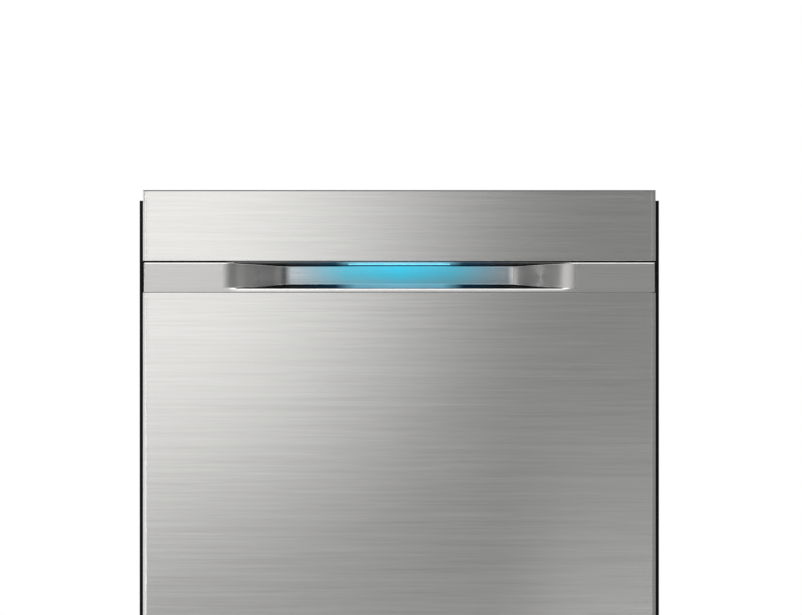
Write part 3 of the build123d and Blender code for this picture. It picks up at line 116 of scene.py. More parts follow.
def vary(shader, source, colours=None, rough=None, dent=None, span=(0.3, 0.7), socket="Base Color"):
    # a pattern's values within span move the colour between two tones and the roughness between two levels;
    # dent is the strength and the depth in millimetres of the relief that the pattern gives
    tree = shader.id_data
    ranged = {"Value": source, "From Min": span[0], "From Max": span[1]}
    if colours:
        share = addNode(tree, "ShaderNodeMapRange", ranged)
        tones = {0: share.outputs[0], 6: linear(colours[0]), 7: linear(colours[1])}
        tone = addNode(tree, "ShaderNodeMix", tones, data_type="RGBA")
        tree.links.new(tone.outputs[2], shader.inputs[socket])
    if rough:
        level = addNode(tree, "ShaderNodeMapRange", {**ranged, "To Min": rough[0], "To Max": rough[1]})
        tree.links.new(level.outputs[0], shader.inputs["Roughness"])
    if dent:
        relief = addNode(tree, "ShaderNodeBump", {"Strength": dent[0], "Distance": dent[1] * mm, "Height": source})
        tree.links.new(relief.outputs["Normal"], shader.inputs["Normal"])


def overlaid(tree, source, share, base):
    # one pattern at a share of its strength, on top of another
    inputs = {0: source, 1: share, 2: base}
    return addNode(tree, "ShaderNodeMath", inputs, operation="MULTIPLY_ADD").outputs[0]


steelGrain = {
    "lineMm": 0.9,        # brushing is 0.1 mm wide, drawn coarser so that it shows
    "lineLongMm": 90.0,
    "bandMm": 5.0,
    "bandLongMm": 400.0,
    "bandShare": 0.35,
    "roughSpread": 0.015,
}


def brushedStainless(name="brushed_stainless", dark="#b3b2b0", light="#c0bfbd", rough=0.22, drawn=0.75, rise=0.03):
    # type 430 sheet, belt brushed across the door: fine level streaks and a highlight drawn out upwards
    material, tree, shader = newMaterial(name, Metallic=1.0, Anisotropic=drawn)
    g = steelGrain
    lines = pattern(tree, (g["lineLongMm"], g["lineLongMm"], g["lineMm"]), Detail=4.0, Roughness=0.65)
    bands = pattern(tree, (g["bandLongMm"], g["bandLongMm"], g["bandMm"]), Detail=3.0)
    both = overlaid(tree, bands, g["bandShare"], lines)
    vary(shader, both, (dark, light), (rough - g["roughSpread"], rough + g["roughSpread"]), span=(0.4, 0.95))
    vary(shader, lines, dent=(0.02, rise))
    across = addNode(tree, "ShaderNodeTangent", direction_type="RADIAL", axis="X")
    tree.links.new(across.outputs["Tangent"], shader.inputs["Tangent"])
    return material


def rolledStainless():
    # type 304 tub sheet, cold rolled: soft reflections with faint cloudy patches
    material, tree, shader = newMaterial("rolled_stainless", Metallic=1.0)
    vary(shader, pattern(tree, 160.0, Detail=1.0), ("#bcbcbb", "#c4c4c3"), (0.25, 0.28))
    vary(shader, pattern(tree, (1.2, 14.0, 1.2), Detail=2.0), dent=(0.03, 0.03))
    return material


def galvanisedSteel():
    # hot dip zinc on mild steel: spangles a few millimetres across, each a slightly different grey
    material, tree, shader = newMaterial("galvanised_steel", Metallic=0.9)
    spangle = pattern(tree, 7.0, "ShaderNodeTexVoronoi").node
    grey = addNode(tree, "ShaderNodeRGBToBW", {"Color": spangle.outputs["Color"]})
    vary(shader, grey.outputs["Val"], ("#8d9194", "#b1b5b8"), (0.36, 0.52), span=(0.1, 0.9))
    return material


def zincPlate():
    # bright zinc plated steel, as on screws and threads: pale with a faint blue cast
    material, tree, shader = newMaterial("zinc_plate", Metallic=1.0)
    vary(shader, pattern(tree, 3.0, Detail=4.0), ("#a5aab0", "#c2c6ca"), (0.28, 0.42))
    return material


def springSteel():
    # oil tempered wire: dark blue grey with drawn lines
    material, tree, shader = newMaterial("spring_steel", Metallic=1.0)
    vary(shader, pattern(tree, 2.0, Detail=3.0), ("#5e6166", "#85888c"), (0.3, 0.45))
    return material


def powderCoat(name="black_powder_coat", dark="#020202", light="#050505", rough=0.55, gloss=0.1):
    # polyester powder baked on steel: satin, with a faint orange peel
    material, tree, shader = newMaterial(name, Specular_IOR_Level=gloss)
    peel = pattern(tree, 1.6, Detail=2.0)
    vary(shader, peel, (dark, light), (rough - 0.05, rough + 0.08), (0.15, 0.06))
    return material


def epdmRubber():
    # extruded EPDM: deep matt black, slightly dusty
    material, tree, shader = newMaterial("epdm_rubber")
    dust = pattern(tree, 9.0, Detail=6.0)
    vary(shader, dust, ("#111112", "#1d1d1f"), (0.62, 0.8), (0.1, 0.1))
    return material


def pressedFelt():
    # cotton shoddy felt pressed into a mat: flecked grey fibres with no shine
    material, tree, shader = newMaterial("pressed_felt", Roughness=0.95, Sheen_Weight=0.25)
    fibre = pattern(tree, (1.4, 3.5, 1.4), Detail=6.0, Distortion=1.5)
    fleck = pattern(tree, 4.0, "ShaderNodeTexVoronoi")
    clump = pattern(tree, 45.0, Detail=4.0)
    vary(shader, overlaid(tree, clump, 0.5, fibre), ("#3b3c40", "#77777b"), span=(0.5, 1.0))
    vary(shader, overlaid(tree, fleck, 0.4, fibre), dent=(0.6, 0.8))
    return material


def mouldedPlastic(name, dark, light, rough=0.42):
    # injection moulded from an eroded tool: even colour with a fine leather-like grain
    material, tree, shader = newMaterial(name)
    grain = pattern(tree, 0.8, Detail=3.0)
    flow = pattern(tree, 30.0, Detail=2.0)
    vary(shader, flow, (dark, light))
    vary(shader, grain, rough=(rough - 0.05, rough + 0.08), dent=(0.25, 0.03))
    return material


def nylonCoat():
    # grey nylon powder fused on steel wire: smooth, soft gloss, a little thicker in places
    material, tree, shader = newMaterial("nylon_coat", IOR=1.52)
    flow = pattern(tree, 6.0, Detail=3.0)
    vary(shader, flow, ("#7c8086", "#92969b"), (0.26, 0.36), (0.15, 0.15))
    return material


def perforatedSteel():
    # fine stainless filter mesh: staggered 0.8 mm holes, drawn at 2 mm so that they show
    material, tree, shader = newMaterial("perforated_steel", Metallic=1.0)
    holes = pattern(tree, 2.0, "ShaderNodeTexVoronoi", Randomness=0.0)
    vary(shader, holes, ("#3a3b3d", "#bcbcbb"), (0.7, 0.28), (0.4, 0.3), (0.25, 0.34))
    return material


def smokedAcrylic():
    # gloss black window over the display
    material, tree, shader = newMaterial("smoked_acrylic", Coat_Weight=0.3, IOR=1.49)
    vary(shader, pattern(tree, 25.0, Detail=4.0), ("#060708", "#0b0c0e"), (0.05, 0.12))
    return material


def gapShadeMaterial():
    # a near-black matt block standing in for the shade in the gaps round the strip: painted shade, with pits about half
    # a millimetre across
    material, tree, shader = newMaterial("gap_shade_black", Roughness=0.92, Specular_IOR_Level=0.06)
    pits = pattern(tree, 0.6, "ShaderNodeTexVoronoi")
    vary(shader, pits, ("#010101", "#030303"), dent=(0.5, 0.2), span=(0.2, 0.8))
    return material


lamp = {
    "strength": 1.0, "edge": "#3fb6e2", "middle": "#8ad8f2",
    # painted lamp light on the pocket's steel: tints and glows by millimetres from the door's middle line, as far as
    # reachMm
    "reachMm": 160.0,
    "wallPaintedTint": [(0, "#458190"), (63, "#598995"), (98, "#8b999e"), (121, "#a6aaac")],
    "wallGlow": [(0, "#19a2c0"), (63, "#27869d"), (98, "#195d6f"), (132, "#000000")],
    "sillPaintedTint": [(0, "#7ca2ad"), (54, "#6f95a2"), (76, "#304559"), (150, "#595959")],
    "sillGlow": [(0, "#6fa2b5"), (50, "#6599ac"), (74, "#001d30"), (120, "#000000")],
    # where the pocket's painted light changes: between two heights, at its back and at its mouth
    "heights": (0.7495, 0.768), "backYs": (-0.298, -0.294), "mouthYs": (-0.3137, -0.3118), "plainZs": (0.750, 0.761),
    "topShare": 1.12,
}
# how much of the painted lamp light is left at the pocket's bottom, back and mouth, how much plain grey without the
# painted tint shows at the bottom, and edgeTint, which dims what is mirrored at a glancing angle
paintedGlowSides = {
    "wall": {"from": "wall", "rough": 0.26, "low": 0.4, "back": 1.0, "mouth": 1.0, "plain": 0.5, "edgeTint": 1.0},
    "sill": {"from": "sill", "rough": 0.25, "low": 1.0, "back": 1.0, "mouth": 0.0, "plain": 0.0, "edgeTint": 0.12},
    "roof": {"from": "sill", "rough": 0.25, "low": 1.0, "back": 0.1, "mouth": 1.0, "plain": 0.0, "edgeTint": 0.12},
}


def litLens():
    # milky acrylic lens with a blue lamp behind it
    material, tree, shader = newMaterial("lit_acrylic", Roughness=0.25, IOR=1.49, Emission_Strength=lamp["strength"])
    frost = pattern(tree, 4.0, Detail=2.0)
    vary(shader, frost, ("#2fb4e0", "#5fcdf0"))
    vary(shader, frost, (lamp["edge"], lamp["middle"]), socket="Emission Color")
    return material


def awayFromMiddle(tree):
    # the distance from the door's middle line, and the point that it is worked out from
    coords = addNode(tree, "ShaderNodeTexCoord")
    point = addNode(tree, "ShaderNodeSeparateXYZ", {0: coords.outputs["Object"]})
    return addNode(tree, "ShaderNodeMath", {0: point.outputs[0]}, operation="ABSOLUTE").outputs[0], point


def fade(tree, away, stops):
    # colours by distance from the middle line, given as (millimetres, colour)
    share = addNode(tree, "ShaderNodeMapRange", {"Value": away, "From Min": 0.0, "From Max": lamp["reachMm"] * mm})
    ramp = addNode(tree, "ShaderNodeValToRGB", {0: share.outputs[0]})
    steps = ramp.color_ramp.elements
    while len(steps) < len(stops):
        steps.new(0.5)
    for step, (place, colour) in zip(steps, stops):
        step.position = place / lamp["reachMm"]
        step.color = linear(colour)
    return ramp.outputs[0]


def paintedGlowStainless(name):
    # the same sheet inside the pocket with the blue lamp's light painted on, as a glow and a tint that fade outwards
    side = paintedGlowSides[name]
    material, tree, shader = newMaterial("stainless_painted_glow_" + name, Metallic=1.0, Emission_Strength=1.0)
    shader.inputs["Specular Tint"].default_value = (*[side["edgeTint"]] * 3, 1.0)
    away, point = awayFromMiddle(tree)
    toned = fade(tree, away, lamp[side["from"] + "PaintedTint"])
    lit = fade(tree, away, lamp[side["from"] + "Glow"])
    share = 1.0
    for axis, (start, end), near, far in (
        (2, lamp["heights"], side["low"], lamp["topShare"]),
        (1, lamp["backYs"], 1.0, side["back"]),
        (1, lamp["mouthYs"], side["mouth"], 1.0),
    ):
        inputs = {"Value": point.outputs[axis], "From Min": start, "From Max": end, "To Min": near, "To Max": far}
        part = addNode(tree, "ShaderNodeMapRange", inputs)
        share = addNode(tree, "ShaderNodeMath", {0: share, 1: part.outputs[0]}, operation="MULTIPLY").outputs[0]
    dimmed = addNode(tree, "ShaderNodeVectorMath", {0: lit, "Scale": share}, operation="SCALE")
    tree.links.new(dimmed.outputs[0], shader.inputs["Emission Color"])
    low, high = lamp["plainZs"]
    inputs = {"Value": point.outputs[2], "From Min": low, "From Max": high, "To Min": side["plain"], "To Max": 0.0}
    bare = addNode(tree, "ShaderNodeMapRange", inputs)
    plain = {0: bare.outputs[0], 6: toned, 7: linear("#7f8081")}
    tree.links.new(addNode(tree, "ShaderNodeMix", plain, data_type="RGBA").outputs[2], shader.inputs["Base Color"])
    grain = pattern(tree, (90.0, 90.0, 0.9), Detail=3.0)
    vary(shader, grain, rough=(side["rough"] - 0.04, side["rough"] + 0.04))
    return material


def fadeOutwards(material, colour, near, far):
    # brings the base colour over to another between two distances, in millimetres, from the middle line
    tree = material.node_tree
    shader = tree.nodes["Principled BSDF"]
    away = awayFromMiddle(tree)[0]
    share = addNode(tree, "ShaderNodeMapRange", {"Value": away, "From Min": near * mm, "From Max": far * mm})
    own = shader.inputs["Base Color"].links[0].from_socket
    mixed = addNode(tree, "ShaderNodeMix", {0: share.outputs[0], 6: own, 7: linear(colour)}, data_type="RGBA")
    tree.links.new(mixed.outputs[2], shader.inputs["Base Color"])


doorSteel = brushedStainless()
# a darker copy of the door's steel for the handle band: painted shade
bandSteelPaintedShade = brushedStainless("brushed_stainless_band_painted_shade", "#9b9a98", "#a6a5a4", 0.3)
# darker still on the pocket's end ramps, lighter again near the mouth: painted shade
rampSteelPaintedShade = brushedStainless("brushed_stainless_ramp_painted_shade", "#8a8988", "#949392", 0.25)
fadeOutwards(rampSteelPaintedShade, "#a3a2a0", 184, 204)
# a plain glossy copy for bevels and edges, its base darker than the door's: painted shade
edgeSteelPaintedShade = brushedStainless("brushed_stainless_edge_painted_shade", "#acabaa", "#b0afae", 0.16, 0.0, 0.004)
# the pocket's inside: painted glow and tint from the blue lamp on the steel
pocketSteelPaintedGlow, sillSteelPaintedGlow, roofSteelPaintedGlow = (paintedGlowStainless(side) for side in paintedGlowSides)
# near-black for the gaps round the handle strip: painted shade
gapShadeBlack = gapShadeMaterial()
tubSteel = rolledStainless()
zincSheet = galvanisedSteel()
boltZinc = zincPlate()
coilSteel = springSteel()
blackCoat = powderCoat()
canGrey = powderCoat("grey_can_paint", "#55585c", "#63666a", 0.42, 0.5)
sealRubber = epdmRubber()
matFelt = pressedFelt()
whitePoly = mouldedPlastic("white_polypropylene", "#c9c8c2", "#d8d7d2")
greyPoly = mouldedPlastic("grey_polypropylene", "#83878c", "#92969b")
darkNylon = mouldedPlastic("glass_filled_nylon", "#18191b", "#232427", 0.5)
stripAbs = mouldedPlastic("charcoal_abs", "#2c2e31", "#34363a", 0.4)
wireNylon = nylonCoat()
filterMesh = perforatedSteel()
lensBlue = litLens()
windowBlack = smokedAcrylic()

nodeFinish = {
    doorSteel: ["door_panel", "door_fascia", "handle_band"],
    tubSteel: ["tub_wrap", "tub_back", "tub_floor", "door_liner", "upper_rails"],
    zincSheet: ["base_frame", "worktop_brackets", "junction_box", "hinge_arms"],
    boltZinc: ["leg_front_left", "leg_front_right", "leg_rear_left", "leg_rear_right", "strike_plate"],
    coilSteel: ["door_springs"],
    blackCoat: ["front_frame", "toe_kick"],
    canGrey: ["wash_motor", "water_heater"],
    sealRubber: ["door_gasket", "bottom_seal"],
    matFelt: ["insulation_blanket"],
    whitePoly: ["air_break", "drain_impeller", "inlet_valve", "latch_lever"],
    greyPoly: [
        "filter_cup", "feed_tube", "float_cap", "tub_rails", "dispenser_body", "dispenser_lid", "rinse_cap",
        "lower_spray_arm", "upper_arm_duct", "upper_spray_arm", "top_spray_arm", "front_wheels", "rear_wheels",
        "silverware_basket",
    ],
    darkNylon: [
        "sump", "wash_impeller", "drain_pump", "button_power", "button_cycle", "button_option", "button_start",
        "latch_housing",
    ],
    stripAbs: ["control_strip"],
    wireNylon: ["lower_rack", "tine_row", "upper_rack", "cup_shelf", "cutlery_tray"],
    filterMesh: ["filter_plate"],
    lensBlue: ["handle_light"],
    windowBlack: ["display_window"],
}
for material, names in nodeFinish.items():
    for name in names:
        nodes[name].data.materials.clear()
        nodes[name].data.materials.append(material)
print("materials assigned")


# shapes, drawn in millimetres and scaled once, when a piece is made

def circle(radius, sides):
    angles = [2 * math.pi * i / sides for i in range(sides)]
    return [(radius * math.cos(a), radius * math.sin(a)) for a in angles]


def turned(points, radius, steps=5, closed=False):
    # a polyline with its corners eased into bends
    points = [Vector(p) for p in points]
    count = len(points)
    eased = []
    for i, corner in enumerate(points):
        if not closed and i in (0, count - 1):
            eased.append(corner)
            continue
        before = points[i - 1] - corner
        after = points[(i + 1) % count] - corner
        reach = min(radius / math.tan(before.angle(after) / 2), 0.49 * before.length, 0.49 * after.length)
        start = corner + before.normalized() * reach
        end = corner + after.normalized() * reach
        for k in range(steps + 1):
            t = k / steps
            eased.append((1 - t) ** 2 * start + 2 * t * (1 - t) * corner + t * t * end)
    return eased


def bridge(shape, rings, closedRing=True, closedPath=False):
    pairs = list(zip(rings, rings[1:]))
    if closedPath:
        pairs.append((rings[-1], rings[0]))
    for near, far in pairs:
        count = len(near)
        for i in range(count if closedRing else count - 1):
            k = (i + 1) % count
            shape.faces.new((near[i], near[k], far[k], far[i]))


def addSweep(shape, path, section, closed=False, up=None, ball=0.0):
    # carries a closed section along a path, with flat ends or round ones of radius ball
    points = [Vector(p) for p in path]
    count = len(points)
    places = []
    normal = None
    for i, point in enumerate(points):
        ahead = points[(i + 1) % count] if closed or i < count - 1 else point
        behind = points[i - 1] if closed or i > 0 else point
        tangent = (ahead - behind).normalized()
        if up is not None:
            normal = Vector(up)
        elif normal is None:
            normal = Vector((0, 0, 1)) if abs(tangent.z) < 0.9 else Vector((1, 0, 0))
        normal = (normal - normal.dot(tangent) * tangent).normalized()
        places.append((point, tangent, normal, 1.0))
    if ball:
        grown = [(math.sin(a), math.cos(a)) for a in (math.radians(d) for d in (20, 50, 75))]
        first, last = places[0], places[-1]
        starts = [(first[0] - out * ball * first[1], first[1], first[2], size) for out, size in reversed(grown)]
        ends = [(last[0] + out * ball * last[1], last[1], last[2], size) for out, size in grown]
        places = starts + places + ends
    rings = []
    for point, tangent, normal, size in places:
        side = tangent.cross(normal)
        rings.append([shape.verts.new(point + size * (a * normal + b * side)) for a, b in section])
    bridge(shape, rings, closedPath=closed)
    if not closed:
        shape.faces.new(rings[0][::-1])
        shape.faces.new(rings[-1])


def addWire(shape, points, radius, bend=0.0, sides=10, closed=False, ball=False):
    path = turned(points, bend, closed=closed) if bend else points
    addSweep(shape, path, circle(radius, sides), closed=closed, ball=radius if ball else 0.0)


def addLathe(shape, profile, place, axis=(0, 0, 1), steps=32):
    # turns (radius, height) pairs round an axis; a radius of nought closes the form
    axis = Vector(axis).normalized()
    spin = axis.to_track_quat("Z", "Y")
    rings = []
    for radius, height in profile:
        if radius == 0:
            ring = [shape.verts.new(Vector(place) + height * axis)]
        else:
            ring = [
                shape.verts.new(Vector(place) + height * axis + spin @ Vector((a, b, 0)))
                for a, b in circle(radius, steps)
            ]
        rings.append(ring)
    for near, far in zip(rings, rings[1:]):
        for i in range(steps):
            k = (i + 1) % steps
            corners = [near[i % len(near)], near[k % len(near)], far[k % len(far)], far[i % len(far)]]
            corners = list(dict.fromkeys(corners))
            if len(corners) > 2:
                shape.faces.new(corners)


def addBlock(shape, low, high, bevel=0.0, segments=2, placed=None):
    # a block between two opposite corners, then moved by the matrix placed
    low, high = Vector(low), Vector(high)
    before = set(shape.verts) if placed is not None else ()
    made = bmesh.ops.create_cube(shape, size=1.0)["verts"]
    for vert in made:
        vert.co = Vector([(a + b) / 2 + c * abs(b - a) for a, b, c in zip(low, high, vert.co)])
    if bevel:
        edges = list({edge for vert in made for edge in vert.link_edges})
        bmesh.ops.bevel(
            shape, geom=edges, offset=bevel, segments=segments, profile=0.5, affect="EDGES", clamp_overlap=True,
        )
    if placed is not None:
        bmesh.ops.transform(shape, matrix=placed, verts=[vert for vert in shape.verts if vert not in before])


def addRibs(shape, low, high, bevel, count, axis, placed, turn=0.0):
    # the same block set count times round an axis
    for i in range(count):
        spin = Matrix.Rotation(2 * math.pi * (i + turn) / count, 4, axis)
        addBlock(shape, low, high, bevel, placed=placed @ spin)


def newPiece(name, node, shape, *materials, replaced=None, sharpAngle=40):
    # a mesh that rides with a node's body, in place of that node unless replaced says otherwise
    body = next((key for key, thing in frame["bodies"].items() if node and nodes[node].parent is thing), None)
    bmesh.ops.recalc_face_normals(shape, faces=shape.faces)
    bmesh.ops.scale(shape, vec=(mm, mm, mm), verts=shape.verts)
    mesh = bpy.data.meshes.new(name)
    shape.to_mesh(mesh)
    shape.free()
    mesh.polygons.foreach_set("use_smooth", [True] * len(mesh.polygons))
    mesh.set_sharp_from_angle(angle=math.radians(sharpAngle))
    for material in materials:
        mesh.materials.append(material)
    piece = bpy.data.objects.new(name, mesh)
    bpy.context.scene.collection.objects.link(piece)
    if body:
        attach(piece, body)
    replaced = [node] if replaced is None else replaced
    if replaced:
        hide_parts(*replaced)
    return piece


# handle band: one pressed strip, its pocket sweeping in from both ends

handle = {
    "halfWidth": 297.5, "faceY": -313.9, "backY": -294.5, "low": 741.3, "high": 775.6, "sheet": 0.8,
    "mouthHalf": 208.0, "depth": 28.0,
    "outerTurn": 30.0, "straight": 32.0, "innerTurn": 20.0,     # lengths of X over which the strip turns inwards
    "lip": 4.8, "brow": 0.66,
    "floorRise": 3.4, "roofDrop": 3.2,                          # at full depth
    "cornerRound": 1.6, "endRound": 1.3, "lowRound": 0.2, "browRound": 0.3,
    # the lip from the band's face up to the pocket's floor, as (back, below the floor): three slopes
    "lipPoints": ((0.0, 4.1), (0.3, 2.1), (0.77, 1.0), (1.67, 0.0)),
    # back and down, tilted to catch the light from above, then a narrow return that keeps its shading flat
    "topBevel": (0.56, 1.3), "topReturn": (0.15, 0.1),
    "endShares": (0.3, 0.55, 0.75, 0.9, 1.0),
    "lensHalf": 59.0, "lensFront": 6.0, "lensThick": 1.2, "lensSteps": 24,
    "lensCrown": ((0.0, 0.0), (-0.25, 0.6), (-0.4, 4.5), (-0.25, 8.4), (0.0, 9.0)),      # drop and run
    # near-black blocks in the gaps above the strip, at both sides of the pocket, and below it: painted shade in the
    # gaps
    "shadeBlocks": (
        ((-200.0, -307.5, 775.0), (-297.0, -299.0, 778.3)), ((200.0, -307.5, 775.0), (297.0, -299.0, 778.3)),
        ((-297.0, -309.0, 740.2), (297.0, -299.0, 742.4)),
    ),
}


def pocketDepth(x):
    h = handle
    inward = h["mouthHalf"] - abs(x)
    slope = h["depth"] / (h["outerTurn"] / 2 + h["straight"] + h["innerTurn"] / 2)
    first = min(max(inward, 0.0), h["outerTurn"])
    second = min(max(inward - h["outerTurn"], 0.0), h["straight"])
    third = min(max(inward - h["outerTurn"] - h["straight"], 0.0), h["innerTurn"])
    return slope * (first * first / (2 * h["outerTurn"]) + second + third - third * third / (2 * h["innerTurn"]))


def arc(y, z, radius, start, end, steps):
    angles = [math.radians(start + (end - start) * i / steps) for i in range(steps + 1)]
    return [(y + radius * math.cos(a), z + radius * math.sin(a)) for a in angles]


def bandSection(x):
    # the strip's section at x as (y, z) points, from its lower return to its upper one
    h = handle
    depth = pocketDepth(x)
    share = depth / h["depth"]
    run = max(abs(x) - h["halfWidth"] + h["endRound"], 0.0)
    face = h["faceY"] + h["endRound"] - math.sqrt(h["endRound"] ** 2 - 0.999 * run * run)
    # the bevel shrinks over the pocket, where the brow takes its place
    bevelBack, bevelDown = (size * (1 - 0.8 * min(depth, 1.0)) for size in h["topBevel"])
    returnBack, returnDown = h["topReturn"]
    brow = h["browRound"] * min(1.0, depth)
    lipShare = min(1.0, 0.6 * depth / h["lipPoints"][-1][0])
    corner = min(h["cornerRound"], 0.4 * depth)
    floorZ, bevelTop = h["low"] + h["lip"], h["high"] - returnDown
    roofZ = bevelTop - bevelDown - brow
    backY, innerFloor = face + depth, floorZ + h["floorRise"] * share ** 2.5
    innerRoof = roofZ - h["roofDrop"] * share ** 1.5
    return (
        [(h["backY"], h["low"])]
        + arc(face + h["lowRound"], h["low"] + h["lowRound"], h["lowRound"], 270, 180, 3)
        + [(face + lipShare * back, floorZ - down) for back, down in h["lipPoints"]]
        + arc(backY - corner, innerFloor + corner, corner, -90, 0, 5)
        + arc(backY - corner, innerRoof - corner, corner, 0, 90, 5)
        + arc(face + brow, roofZ + brow, brow, 270, 180, 3)
        + [(face + bevelBack * i / 3, bevelTop - bevelDown * (1 - i / 3)) for i in range(4)]
        + [(face + bevelBack + returnBack, h["high"]), (h["backY"], h["high"])]
    )


def bandFinish(face, inner):
    # the pocket's inside takes the copies with painted lamp glow, its end ramps the one with painted shade:
    # which one goes by where a face lies and how it is tilted
    h = handle
    place, up, away = face.calc_center_median(), face.normal.z, abs(face.calc_center_median().x)
    floorZ, roofZ = h["low"] + h["lip"], h["high"] - h["brow"]
    if away > h["mouthHalf"] - 2 or place.z < floorZ - 1.0:
        return bandSteelPaintedShade
    if place.z > roofZ - 0.1 and away < h["mouthHalf"] - 16:
        return roofSteelPaintedGlow
    if place.z >= roofZ + 0.1:
        return bandSteelPaintedShade
    if 0.5 < up < 0.85 and place.y < h["faceY"] + 1.5:
        return edgeSteelPaintedShade
    if abs(up) > 0.55:
        return roofSteelPaintedGlow if up < 0 else sillSteelPaintedGlow
    if place.y > h["faceY"] + 0.02:
        return pocketSteelPaintedGlow if away < inner + 6 else rampSteelPaintedShade
    return bandSteelPaintedShade


def giveSheet(piece, thick):
    # folds inwards by the sheet's thickness, with the flats shaded flat
    sheet = piece.modifiers.new("sheet", "SOLIDIFY")
    sheet.thickness = thick * mm
    sheet.offset = -1.0
    even = piece.modifiers.new("even", "WEIGHTED_NORMAL")
    even.keep_sharp = True


def makeHandleBand():
    h = handle
    inner = h["mouthHalf"] - h["outerTurn"] - h["straight"] - h["innerTurn"]
    flat = h["halfWidth"] - h["endRound"] - h["mouthHalf"]
    rightHalf = [inner * i / 12 for i in range(12)]
    rightHalf += [inner + (h["mouthHalf"] - inner) * i / 64 for i in range(64)]
    rightHalf += [h["mouthHalf"] + flat * i / 8 for i in range(9)]
    rightHalf += [h["halfWidth"] - h["endRound"] * (1 - share) for share in h["endShares"]]
    stations = [-x for x in reversed(rightHalf[1:])] + rightHalf
    shape = bmesh.new()
    rings = [[shape.verts.new((x, y, z)) for y, z in bandSection(x)] for x in stations]
    bridge(shape, rings, closedRing=False)
    for ring in (rings[0], rings[-1]):
        shape.faces.new(ring)
    bmesh.ops.remove_doubles(shape, verts=shape.verts, dist=0.002)
    bmesh.ops.dissolve_degenerate(shape, edges=shape.edges, dist=0.001)
    shape.normal_update()
    bmesh.ops.recalc_face_normals(shape, faces=shape.faces)
    # the band's steel and its copies: painted lamp glow inside the pocket, painted shade on the band, ramps and edges
    finishes = [bandSteelPaintedShade, pocketSteelPaintedGlow, sillSteelPaintedGlow, roofSteelPaintedGlow, rampSteelPaintedShade, edgeSteelPaintedShade]
    for face in shape.faces:
        face.material_index = finishes.index(bandFinish(face, inner))
    giveSheet(newPiece("handle_band_steel", "handle_band", shape, *finishes, sharpAngle=50), h["sheet"])


def makeHandleLens():
    # a crowned lens strip let into the pocket's ceiling, following its draft
    h = handle
    shape = bmesh.new()
    slope = h["roofDrop"] / h["depth"]
    low = h["high"] - h["brow"] - slope * h["lensFront"]
    ring = [(h["faceY"] + h["lensFront"] + run, low + drop - slope * run) for drop, run in h["lensCrown"]]
    ring += [(y, z + h["lensThick"]) for y, z in (ring[-1], ring[0])]
    stations = [-h["lensHalf"] + 2 * h["lensHalf"] * i / h["lensSteps"] for i in range(h["lensSteps"] + 1)]
    rings = [[shape.verts.new((x, y, z)) for y, z in ring] for x in stations]
    bridge(shape, rings)
    shape.faces.new(rings[0])
    shape.faces.new(rings[-1])
    newPiece("handle_light_lens", "handle_light", shape, lensBlue)


def makeGapShadeBlocks():
    # near-black blocks in the gaps round the strip: painted shade
    shape = bmesh.new()
    for low, high in handle["shadeBlocks"]:
        addBlock(shape, low, high, 0.4)
    newPiece("band_gap_shade_blocks", "handle_band", shape, gapShadeBlack, replaced=())


# door skins: folded sheet with bevelled side edges, above and below the strip

skin = {
    "halfWidth": 298.5, "faceY": -314.5, "backY": -294.5, "sheet": 0.8, "bevel": 4.0, "bevelDeep": 3.3, "turn": 0.6,
    "bevelLead": (0.12, 0.2),       # a narrow facet where the bevel starts, along X and Y
    "fasciaLow": 777.7, "fasciaHigh": 860.0, "panelLow": 112.0, "panelHigh": 740.7,
    "topBevel": 1.3, "topReturn": 0.7, "fasciaLowRound": 0.4, "panelLowRound": 1.0, "panelHighRound": 0.25,
}


def skinOutline(inset):
    # the sheet's outline in plan, at one level, moved back by inset
    k = skin
    half, face, back = k["halfWidth"], k["faceY"] + inset, k["backY"]
    side, deep, turn = k["bevel"], k["bevelDeep"], k["turn"]
    slant = math.hypot(side, deep)
    start, middle, end = (side - turn * side / slant, turn * deep / slant), (side, 0.0), (side + turn, 0.0)
    edge = [(0.0, back - face), (0.0, deep), (k["bevelLead"][0], deep - k["bevelLead"][1])]
    for t in (0.0, 0.25, 0.5, 0.75, 1.0):
        weights = ((1 - t) ** 2, 2 * t * (1 - t), t * t)
        edge.append(tuple(sum(w * p for w, p in zip(weights, places)) for places in zip(start, middle, end)))
    return [(run - half, face + dip) for run, dip in edge] + [(half - run, face + dip) for run, dip in reversed(edge)]


def makeSkin(name, node, low, high, lowRound, highRound=None):
    # rounded at its lower edge, and at the upper one too unless it ends in an open bevel there
    k = skin
    shape = bmesh.new()
    turns = [math.radians(a) for a in range(0, 91, 15)]
    levels = [(low + lowRound * (1 - math.cos(a)), lowRound * (1 - math.sin(a))) for a in turns]
    if highRound:
        levels += [(high - highRound * (1 - math.cos(a)), highRound * (1 - math.sin(a))) for a in reversed(turns)]
    else:
        bevel = k["topBevel"]
        levels += [(high - bevel, 0.0), (high, bevel), (high, bevel + k["topReturn"])]
    rings = [[shape.verts.new((x, y, z)) for x, y in skinOutline(inset)] for z, inset in levels]
    bridge(shape, rings, closedRing=False)
    shape.faces.new(rings[0])
    if highRound:
        shape.faces.new(rings[-1])
    bmesh.ops.recalc_face_normals(shape, faces=shape.faces[:])
    # bevels take the edge copy of the steel, whose darker base is painted shade
    for face in shape.faces:
        sideways, out, up = abs(face.normal.x), abs(face.normal.y), face.normal.z
        face.material_index = 1 if 0.25 < sideways < 0.97 and out < 0.85 or 0.3 < up < 0.9 else 0
    giveSheet(newPiece(name, node, shape, doorSteel, edgeSteelPaintedShade, sharpAngle=30), k["sheet"])


makeHandleBand()
makeHandleLens()
makeGapShadeBlocks()
makeSkin("door_fascia_skin", "door_fascia", skin["fasciaLow"], skin["fasciaHigh"], skin["fasciaLowRound"])
makeSkin(
    "door_panel_skin", "door_panel", skin["panelLow"], skin["panelHigh"], skin["panelLowRound"], skin["panelHighRound"],
)
print("handle made")


